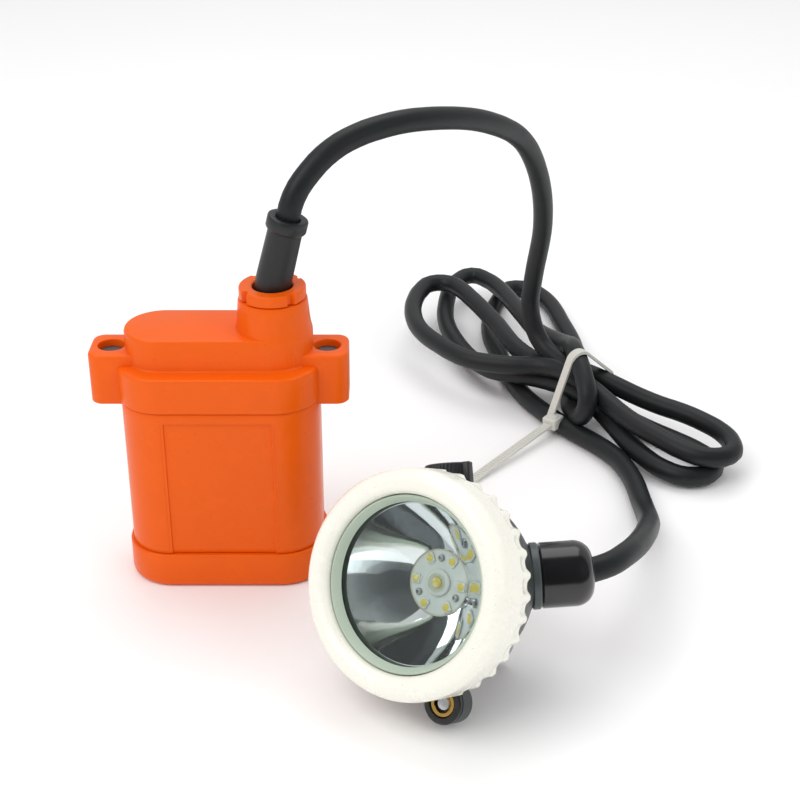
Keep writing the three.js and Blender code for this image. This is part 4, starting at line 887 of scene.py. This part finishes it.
class CAPLAMP_OT_bezel(bpy.types.Operator):
    """Builds the bezel ring with its grip scallops, the lens gasket and the lens"""
    bl_idname = "caplamp.bezel"
    bl_label = "Bezel, gasket and lens"

    def execute(self, context):
        sizes, colours = settings(context)
        cream = moulded("cream_plastic", colours.cream, 0.26, 0.00001, 2600.0, 0.025, coat=0.3)
        bite = sizes.scallop_depth / MM
        count = sizes.scallops
        steps = count * 10
        rear = [(33.5, -z) for z in (12.7, 12.0, 11.0, 10.0, 9.2, 8.6, 8.0, 7.0, 5.0, 2.5)]
        crown = arc_profile((29.7, -0.8), (3.8, 4.8), 0, 90, 12)
        crown += arc_profile((29.7, 1.3), (3.8, 2.7), 90, 180, 10)[1:] + [(25.9, -0.9)]
        inside = [(31.1, -0.95), (31.1, -13.0), (31.2, -13.0)]
        profile = [(31.2, -13.0), (33.2, -13.0)] + rear + crown + inside
        bm = turned(profile, steps)
        for vert in bm.verts:
            reach = math.hypot(vert.co.x, vert.co.y)
            if reach < 32.6 or vert.co.z > -7.5:
                continue
            angle = math.atan2(vert.co.y, vert.co.x)
            phase = abs((angle * count / (2 * math.pi)) % 1.0 - 0.5) * 2.0
            across = max(0.0, 1.0 - (phase / 0.74) ** 2.6)
            along = min(1.0, max(0.0, (-7.9 - vert.co.z) / 2.2))
            factor = (reach - bite * across * along) / reach
            vert.co.x *= factor
            vert.co.y *= factor
        add_piece("bezel_ring_body", bm, cream, "cream_plastic", "bezel_ring", matrix=HEAD, sharp=0.75)

        gasket = turned([
            (23.6, -1.9), (29.0, -1.9), (29.0, -1.2), (25.6, -1.2), (25.6, 0.75), (25.45, 0.9),
            (25.1, 0.9), (24.9, 0.75), (23.75, -1.6), (23.6, -1.9)], 160)
        soft = moulded("gasket_grey", colours.gasket, 0.42, 0.00003, 1900.0, 0.05)
        add_piece("lens_gasket_body", gasket, soft, "gasket_grey", "lens_gasket", matrix=HEAD)
        lens = turned([
            (0.0, -3.8), (28.6, -3.8), (28.8, -3.6), (28.8, -2.4), (28.6, -2.2), (0.0, -2.2)], 128)
        add_piece("front_lens_body", lens, clear("clear_glass", (0.96, 0.98, 0.97)), "clear_glass",
                  "front_lens", matrix=HEAD)
        return {"FINISHED"}


class CAPLAMP_OT_reflector(bpy.types.Operator):
    """Builds the metallised reflector"""
    bl_idname = "caplamp.reflector"
    bl_label = "Reflector"

    def execute(self, context):
        rim, neck, depth = 23.2, 10.0, 14.1
        slope = (rim ** 2 - neck ** 2) / depth
        drops = [depth * i / 24 for i in range(25)]
        inner = [(math.sqrt(rim ** 2 - slope * drop), -4.1 - drop) for drop in drops]
        outer = [(radius + 1.0, min(z, -5.1)) for radius, z in reversed(inner)]
        flange = [(28.7, -5.1), (28.8, -4.1), (24.2, -4.1), (23.8, -4.02)]
        add_piece("reflector_body", turned(flange[-1:] + inner + outer + flange, 160), chromed("chrome"),
                  "chrome", "reflector", matrix=HEAD)
        return {"FINISHED"}


class CAPLAMP_OT_lights(bpy.types.Operator):
    """Builds the light source board, its seven light sources and its screws"""
    bl_idname = "caplamp.lights"
    bl_label = "Light sources"

    def execute(self, context):
        _, colours = settings(context)
        face = BOARD_FACE
        white = board_face("white_board", colours.board, (0.46, 0.40, 0.22))
        yellow = phosphor("led_yellow", colours.phosphor)
        steel = metal("screw_steel", tinted(colours.steel, 0.8), 0.30, HEAD)
        board = turned([(0.0, face - 1.6), (12.5, face - 1.6), (12.6, face - 1.5), (12.6, face - 0.1),
                        (12.5, face), (0.0, face)], 96)
        add_piece("led_board_body", board, white, "white_board", "led_board", matrix=HEAD)
        for i in range(6):
            angle = math.radians(46.0 + 60.0 * i)
            place = HEAD @ Matrix.Rotation(angle, 4, "Z") @ Matrix.Translation((7.8, 0, face))
            chip = merge(
                block((-1.4, -1.4, 0.1), (1.4, 1.4, 0.7), 0.18),
                block((-1.9, -0.9, 0.02), (-1.3, 0.9, 0.3), 0.08, 2),
                block((1.3, -0.9, 0.02), (1.9, 0.9, 0.3), 0.08, 2),
            )
            add_piece("aux_led_body_" + str(i + 1), chip, white, "white_board", "aux_led_" + str(i + 1),
                      matrix=place)
            pool = turned([(0.0, 0.6), (1.15, 0.6), (1.15, 0.72), (0.9, 0.86), (0.0, 0.92)], 40)
            add_piece("aux_led_phosphor_" + str(i + 1), pool, yellow, "led_yellow", matrix=place)
        base = turned([(0.0, face + 0.1), (4.0, face + 0.1), (4.0, face + 0.9), (3.7, face + 1.15),
                       (3.1, face + 1.2), (3.0, face + 1.05), (0.0, face + 1.05)], 64)
        add_piece("main_led_base_body", base, white, "white_board", "main_led_base", matrix=HEAD)
        die = turned([(0.0, face + 1.1), (1.55, face + 1.1), (1.55, face + 1.5), (1.4, face + 1.6),
                      (0.0, face + 1.6)], 32)
        add_piece("main_led_die", die, yellow, "led_yellow", matrix=HEAD)
        dome = turned([(0.0, face + 1.25)] + arc_profile((0.0, face + 1.3), (2.8, 2.8), 0, 90, 12), 64)
        add_piece("main_led_dome_body", dome, clear("clear_resin", (0.97, 0.97, 0.93), 0.03), "clear_glass",
                  "main_led_dome", matrix=HEAD)
        for i in range(3):
            angle = math.radians(-43.0 + 120.0 * i)
            place = HEAD @ Matrix.Translation((7.3 * math.cos(angle), 7.3 * math.sin(angle), face))
            head = turned([(0.0, -3.0), (0.6, -3.0), (0.6, 0.0), (1.05, 0.05), (1.05, 0.55), (0.85, 0.85),
                           (0.45, 0.92), (0.38, 0.5), (0.0, 0.45)], 32)
            add_piece("board_screw_body_" + str(i + 1), head, steel, "steel", "board_screw_" + str(i + 1),
                      matrix=place)
        return {"FINISHED"}


class CAPLAMP_OT_housing(bpy.types.Operator):
    """Builds the lamp housing with its gland boss, switch boss and charging barrel"""
    bl_idname = "caplamp.housing"
    bl_label = "Lamp housing"

    def execute(self, context):
        _, colours = settings(context)
        grey = moulded("grey_plastic", colours.grey, 0.40, 0.00004, 1500.0, 0.12)
        bowl = [(bowl_radius(depth), -depth) for depth in (14.0 + 33.2 * i / 20 for i in range(21))]
        inside = [(bowl_radius(depth) - 2.3, -depth) for depth in (14.0 + 31.3 * i / 12 for i in range(13))]
        front = [(27.3, -14.0), (27.3, -5.5), (30.8, -5.5), (30.8, -13.1), (30.6, -13.3), (29.7, -13.3)]
        rear = [(14.9, -47.55), (14.5, -47.6), (8.6, -47.6), (8.6, -45.3)]
        shell = turned(front + bowl + rear + inside[::-1] + front[:1], 128)
        to_gland = HEAD.inverted() @ GLAND
        boss = turned([
            (0.0, 18.5), (10.45, 18.5), (10.45, 23.2), (10.3, 23.9), (9.9, 24.4), (0.0, 24.4)], 96, to_gland)
        neck = turned([(7.2, 24.0), (7.2, 34.0), (0.0, 34.0)], 48, to_gland)
        collar = turned([
            (0.0, 24.5), (8.0, 24.5), (8.0, 27.3), (7.6, 27.8), (0.0, 27.8)], 64,
            HEAD.inverted() @ SWITCH_AXIS)
        barrel = turned([
            (0.0, -22.8), (5.6, -22.8), (6.2, -22.2), (6.2, -17.0), (0.0, -17.0)], 64,
            Matrix.Translation((0, BARREL_Y, 0)))
        web = block((-4.5, BARREL_Y, -22.7), (4.5, -25.0, -17.1), 0.5)
        whole = merge(shell, boss, neck, collar, barrel, web)
        add_piece("lamp_housing_body", whole, grey, "grey_plastic", "lamp_housing", matrix=HEAD)
        ring_grey = moulded("collar_grey", tinted(colours.grey, 1.7), 0.34, 0.00003, 1700.0, 0.10)
        cuff = turned([(7.5, 24.7), (9.5, 24.7), (10.0, 25.1), (10.0, 26.9), (9.7, 27.3), (7.5, 27.3),
                       (7.5, 24.7)], 96)
        add_piece("gland_collar_body", cuff, ring_grey, "grey_plastic", "gland_collar", matrix=GLAND)
        return {"FINISHED"}


class CAPLAMP_OT_gland(bpy.types.Operator):
    """Builds the lamp's gland nut"""
    bl_idname = "caplamp.gland"
    bl_label = "Lamp gland nut"

    def execute(self, context):
        _, colours = settings(context)
        black = moulded("gland_black", colours.black, 0.20, 0.000012, 2400.0, 0.10, coat=0.3)
        dome = arc_profile((4.5, 37.8), (5.35, 5.6), 0, 90, 14)
        profile = [(7.5, 27.6), (9.5, 27.6), (9.85, 28.0)] + dome + [
            (4.35, 43.55), (4.15, 43.4), (4.1, 42.9), (4.1, 38.2), (7.5, 38.2), (7.5, 27.6)]
        turn = Matrix.Rotation(math.radians(-70), 4, "Z")
        seam = block((9.7, -0.12, 28.2), (9.9, 0.12, 37.6), 0.04, 1, turn)
        add_piece("lamp_gland_nut_body", merge(turned(profile, 128), seam), black, "black_plastic",
                  "lamp_gland_nut", matrix=GLAND)
        return {"FINISHED"}


class CAPLAMP_OT_switch(bpy.types.Operator):
    """Builds the rotary switch knob"""
    bl_idname = "caplamp.switch"
    bl_label = "Switch knob"

    def execute(self, context):
        sizes, colours = settings(context)
        black = moulded("knob_black", tinted(colours.black, 1.5), 0.36, 0.00003, 1800.0, 0.15)
        ribs = sizes.knob_ribs
        profile = [
            (0.0, 31.5), (2.2, 31.5), (2.2, 28.1), (6.4, 28.1), (6.75, 28.4), (6.75, 30.0), (6.75, 33.0),
            (6.75, 34.8), (6.6, 35.2), (6.2, 35.5), (4.4, 35.5), (4.1, 35.1), (0.0, 35.05)]
        bm = turned(profile, ribs * 6)
        for vert in bm.verts:
            reach = math.hypot(vert.co.x, vert.co.y)
            if reach > 6.7 and 28.5 < vert.co.z < 35.1:
                angle = math.atan2(vert.co.y, vert.co.x)
                factor = 1.0 - 0.035 * (0.5 - 0.5 * math.cos(angle * ribs)) ** 2
                vert.co.x *= factor
                vert.co.y *= factor
        pointer = block((2.0, -1.5, 28.1), (8.35, 1.5, 35.5), 0.45)
        mark = block((3.0, -0.45, 35.3), (8.0, 0.45, 35.65), 0.1, 2)
        add_piece("switch_knob_body", merge(bm, pointer, mark), black, "black_plastic", "switch_knob",
                  body=SWITCH, matrix=SWITCH_AXIS)
        return {"FINISHED"}


class CAPLAMP_OT_charging(bpy.types.Operator):
    """Builds the charging contact: insulator, brass ring and steel pin"""
    bl_idname = "caplamp.charging"
    bl_label = "Charging contact"

    def execute(self, context):
        _, colours = settings(context)
        black = moulded("insulator_black", tinted(colours.black, 1.3), 0.33, 0.00003, 1900.0, 0.12)
        cap = turned([
            (0.0, -21.0), (4.8, -21.0), (4.8, -16.7), (6.0, -16.7), (6.2, -16.5), (6.2, -15.4),
            (5.95, -15.08), (5.5, -15.0), (4.35, -15.0), (4.2, -15.15), (4.2, -18.5), (2.4, -18.6),
            (2.4, -19.5), (0.0, -19.5)], 96)
        add_piece("charge_insulator_body", cap, black, "black_plastic", "charge_insulator", matrix=BARREL)
        contact = turned([
            (2.7, -18.3), (4.0, -18.3), (4.0, -15.6), (3.85, -15.42), (2.9, -15.4), (2.7, -15.6),
            (2.7, -18.3)], 64)
        add_piece("charge_ring_body", contact, metal("brass", colours.brass, 0.26, BARREL), "brass",
                  "charge_ring_contact", matrix=BARREL)
        pin = turned([
            (0.0, -19.4), (2.2, -19.4), (2.2, -16.3), (1.9, -15.95), (1.2, -15.8), (0.0, -15.75)], 48)
        add_piece("charge_pin_body", pin, metal("pin_steel", colours.steel, 0.25, BARREL), "steel",
                  "charge_pin", matrix=BARREL)
        return {"FINISHED"}


def rear_screw_mesh(under, radius, place):
    """A cross-recessed screw head seen from the rear."""
    shell = turned([
        (0.0, -under + 2.0), (0.9, -under + 2.0), (0.9, -under), (radius, -under), (radius, -under - 0.55),
        (radius * 0.8, -under - 0.95), (radius * 0.45, -under - 1.1), (0.0, -under - 1.12)], 40)
    bars = [
        block((-0.95, -0.22, -under - 1.16), (0.95, 0.22, -under - 0.9), 0.05, 1),
        block((-0.22, -0.95, -under - 1.16), (0.22, 0.95, -under - 0.9), 0.05, 1),
    ]
    bm = merge(shell, *bars)
    bmesh.ops.transform(bm, matrix=Matrix.Translation(place), verts=bm.verts[:])
    return bm


class CAPLAMP_OT_rear(bpy.types.Operator):
    """Builds the rear cover, the helmet hook and their screws"""
    bl_idname = "caplamp.rear"
    bl_label = "Rear cover and hook"

    def execute(self, context):
        _, colours = settings(context)
        grey = moulded("cover_grey", tinted(colours.grey, 1.2), 0.42, 0.00005, 1300.0, 0.12)
        steel = metal("hook_steel", colours.steel, 0.30, HEAD)
        cover = turned([
            (0.0, -45.9), (8.3, -45.9), (8.3, -47.9), (14.2, -47.9), (14.4, -48.1), (14.4, -49.0),
            (14.1, -49.7), (13.4, -50.1), (11.0, -50.1), (0.0, -50.1)], 96)
        ribs = []
        for twelfths in (1, 3, 9, 11):
            turn = Matrix.Rotation(twelfths * math.pi / 6, 4, "Z")
            ribs.append(block((-0.5, 9.6, -50.35), (0.5, 13.0, -50.0), 0.15, 2, turn))
        add_piece("rear_cover_body", merge(cover, *ribs), grey, "grey_plastic", "rear_cover", matrix=HEAD)
        edge = [(HOOK_HALF, HOOK_RISE), (-HOOK_HALF, HOOK_RISE)]
        edge += arc_profile((0.0, HOOK_HALF - HOOK_REACH), (HOOK_HALF, HOOK_HALF), 180, 360, 24)
        blade = bmesh.new()
        loft(blade, [[(x * k, y * (k if y < 0 else 1.0), z) for x, y in edge] for z, k in (
            (-52.2, 0.97), (-52.05, 1.0), (-50.55, 1.0), (-50.4, 0.97))])
        add_piece("helmet_hook_body", blade, steel, "steel", "helmet_hook", matrix=HEAD)
        for i in range(3):
            angle = math.radians(90.0 + 120.0 * i)
            place = (12.0 * math.cos(angle), 12.0 * math.sin(angle), 0.0)
            add_piece("cover_screw_body_" + str(i + 1), rear_screw_mesh(50.2, 1.7, place), steel, "steel",
                      "cover_screw_" + str(i + 1), matrix=HEAD)
        for name, y in (("lower", -4.0), ("upper", 4.0)):
            add_piece("hook_screw_body_" + name, rear_screw_mesh(52.3, 1.7, (0.0, y, 0.0)), steel, "steel",
                      "hook_screw_" + name, matrix=HEAD)
        return {"FINISHED"}


class CAPLAMP_OT_inner(bpy.types.Operator):
    """Gives the carried-over inner pieces their materials"""
    bl_idname = "caplamp.inner"
    bl_label = "Inner pieces"

    def execute(self, context):
        _, colours = settings(context)
        steel = metal("inner_steel", colours.steel, 0.32)
        rubber = moulded("inner_rubber", tinted(colours.cord, 0.9), 0.55, 0.00005, 1400.0, 0.15)
        sleeve = moulded("cell_sleeve", (0.045, 0.115, 0.33), 0.30, 0.00002, 1800.0, 0.10, coat=0.2)
        board = moulded("circuit_board", (0.028, 0.145, 0.06), 0.36, 0.00003, 2400.0, 0.18)
        # Ear screw steel at 30 per cent of the steel colour: painted shade for the screw heads sunk deep in
        # the lid's screw holes.
        dark = metal("ear_screw_steel_painted_shade", tinted(colours.steel, 0.30), 0.50)
        repaint(steel, "cell_strip_lower", "cell_strip_upper", "gland_washer", "switch_shaft")
        repaint(dark, "ear_screw_left", "ear_screw_right")
        repaint(rubber, "lid_gasket", "cell_pad", "rear_seal", "gland_bush", "knob_seal")
        repaint(sleeve, "cell_left", "cell_middle", "cell_right")
        repaint(board, "protection_board", "driver_board")
        repaint(metal("heat_sink_aluminium", (0.56, 0.57, 0.58), 0.36, HEAD), "heat_sink")
        repaint(moulded("switch_black", colours.black, 0.4), "switch_body")
        return {"FINISHED"}


# ---- Stage, in metres ----

CAMERA_PLACE = (0.0582, -0.4479, 0.295)
CAMERA_PITCH = math.radians(90.0 - 27.6)
CAMERA_SENSOR = 36.0
CAMERA_LENS = 69.26
LIGHT_AIM = Vector((0.07, 0.0, 0.05))
WORLD_STRENGTH = 0.62
FLOOR_HALF = 6.0
CARD_RADIUS = 1.1
CARD_DISTANCE = 0.62
CARD_SIDE = Vector((0.42, -0.74, 0.52)).normalized()


class CAPLAMP_OT_stage(bpy.types.Operator):
    """Sets up the camera, the floor, the lights and a dark card for the reflector to mirror"""
    bl_idname = "caplamp.stage"
    bl_label = "Stage"

    def execute(self, context):
        scene = context.scene
        scene.view_settings.view_transform = "Standard"
        self.add_camera(scene)
        self.add_floor(scene)
        self.add_light(scene, "key", (-0.55, -0.55, 1.05), 0.9, 7.0)
        self.add_light(scene, "fill", (0.95, -0.55, 0.75), 0.8, 3.2)
        self.add_light(scene, "top", (0.1, 0.55, 1.2), 1.0, 4.8)
        self.add_card(scene)
        world = bpy.data.worlds.new("studio")
        scene.world = world
        world.use_nodes = True
        background = world.node_tree.nodes["Background"]
        background.inputs["Color"].default_value = (1.0, 1.0, 1.0, 1.0)
        background.inputs["Strength"].default_value = WORLD_STRENGTH
        return {"FINISHED"}

    def add_camera(self, scene):
        data = bpy.data.cameras.new("camera")
        data.sensor_width = CAMERA_SENSOR
        data.lens = CAMERA_LENS
        camera = bpy.data.objects.new("camera", data)
        camera.location = CAMERA_PLACE
        camera.rotation_euler = (CAMERA_PITCH, 0.0, 0.0)
        scene.collection.objects.link(camera)
        scene.camera = camera

    def add_floor(self, scene):
        bm = bmesh.new()
        bmesh.ops.create_grid(bm, x_segments=1, y_segments=1, size=FLOOR_HALF)
        mesh = bpy.data.meshes.new("floor")
        bm.to_mesh(mesh)
        bm.free()
        make = Shader("floor_white")
        cloud = make.noise(make.place(), 3.0)
        mesh.materials.append(make.principled(
            Base_Color=make.blend(cloud, (0.96, 0.96, 0.96), (0.98, 0.98, 0.98)),
            Roughness=cloud * 0.1 + 0.6))
        floor = bpy.data.objects.new("floor", mesh)
        scene.collection.objects.link(floor)

    def add_card(self, scene):
        """A dark card that only reflections see, so that the reflector has something dark to mirror."""
        bm = bmesh.new()
        bmesh.ops.create_circle(bm, cap_ends=True, segments=48, radius=CARD_RADIUS)
        mesh = bpy.data.meshes.new("dark_card")
        bm.to_mesh(mesh)
        bm.free()
        make = Shader("card_dark")
        cloud = make.noise(make.place(), 6.0)
        mesh.materials.append(make.principled(
            Base_Color=make.blend(cloud, (0.008, 0.011, 0.014), (0.030, 0.032, 0.034)),
            Roughness=cloud * 0.1 + 0.7, Specular_IOR_Level=0.1))
        card = bpy.data.objects.new("dark_card", mesh)
        card.location = HEAD_CENTRE * MM + CARD_SIDE * CARD_DISTANCE
        card.rotation_euler = CARD_SIDE.to_track_quat("-Z", "Y").to_euler()
        card.visible_camera = False
        card.visible_diffuse = False
        card.visible_transmission = False
        card.visible_shadow = False
        scene.collection.objects.link(card)

    def add_light(self, scene, name, place, size, power):
        data = bpy.data.lights.new(name, "AREA")
        data.size = size
        data.energy = power
        light = bpy.data.objects.new(name, data)
        light.location = place
        light.rotation_euler = (LIGHT_AIM - Vector(place)).to_track_quat("-Z", "Y").to_euler()
        scene.collection.objects.link(light)


OPERATORS = (
    CAPLAMP_OT_stage, CAPLAMP_OT_cord, CAPLAMP_OT_pack, CAPLAMP_OT_boot, CAPLAMP_OT_bezel,
    CAPLAMP_OT_reflector, CAPLAMP_OT_lights, CAPLAMP_OT_housing, CAPLAMP_OT_gland, CAPLAMP_OT_switch,
    CAPLAMP_OT_charging, CAPLAMP_OT_rear, CAPLAMP_OT_inner,
)


class CAPLAMP_PT_panel(bpy.types.Panel):
    """The cap lamp's sizes, colours and build buttons"""
    bl_idname = "CAPLAMP_PT_panel"
    bl_label = "Cap lamp"
    bl_space_type = "VIEW_3D"
    bl_region_type = "UI"
    bl_category = "Cap lamp"

    def draw(self, context):
        for group in settings(context):
            box = self.layout.box()
            for key in group.__annotations__:
                box.prop(group, key)
        for operator in OPERATORS:
            self.layout.operator(operator.bl_idname)


CLASSES = (CapLampSizes, CapLampColours, *OPERATORS, CAPLAMP_PT_panel)


def register():
    for cls in CLASSES:
        bpy.utils.register_class(cls)
    bpy.types.Scene.cap_lamp_sizes = bpy.props.PointerProperty(type=CapLampSizes)
    bpy.types.Scene.cap_lamp_colours = bpy.props.PointerProperty(type=CapLampColours)


def unregister():
    del bpy.types.Scene.cap_lamp_sizes
    del bpy.types.Scene.cap_lamp_colours
    for cls in reversed(CLASSES):
        bpy.utils.unregister_class(cls)


def main():
    register()
    for operator in OPERATORS:
        group, name = operator.bl_idname.split(".")
        getattr(getattr(bpy.ops, group), name)()


if __name__ == "__main__":
    main()
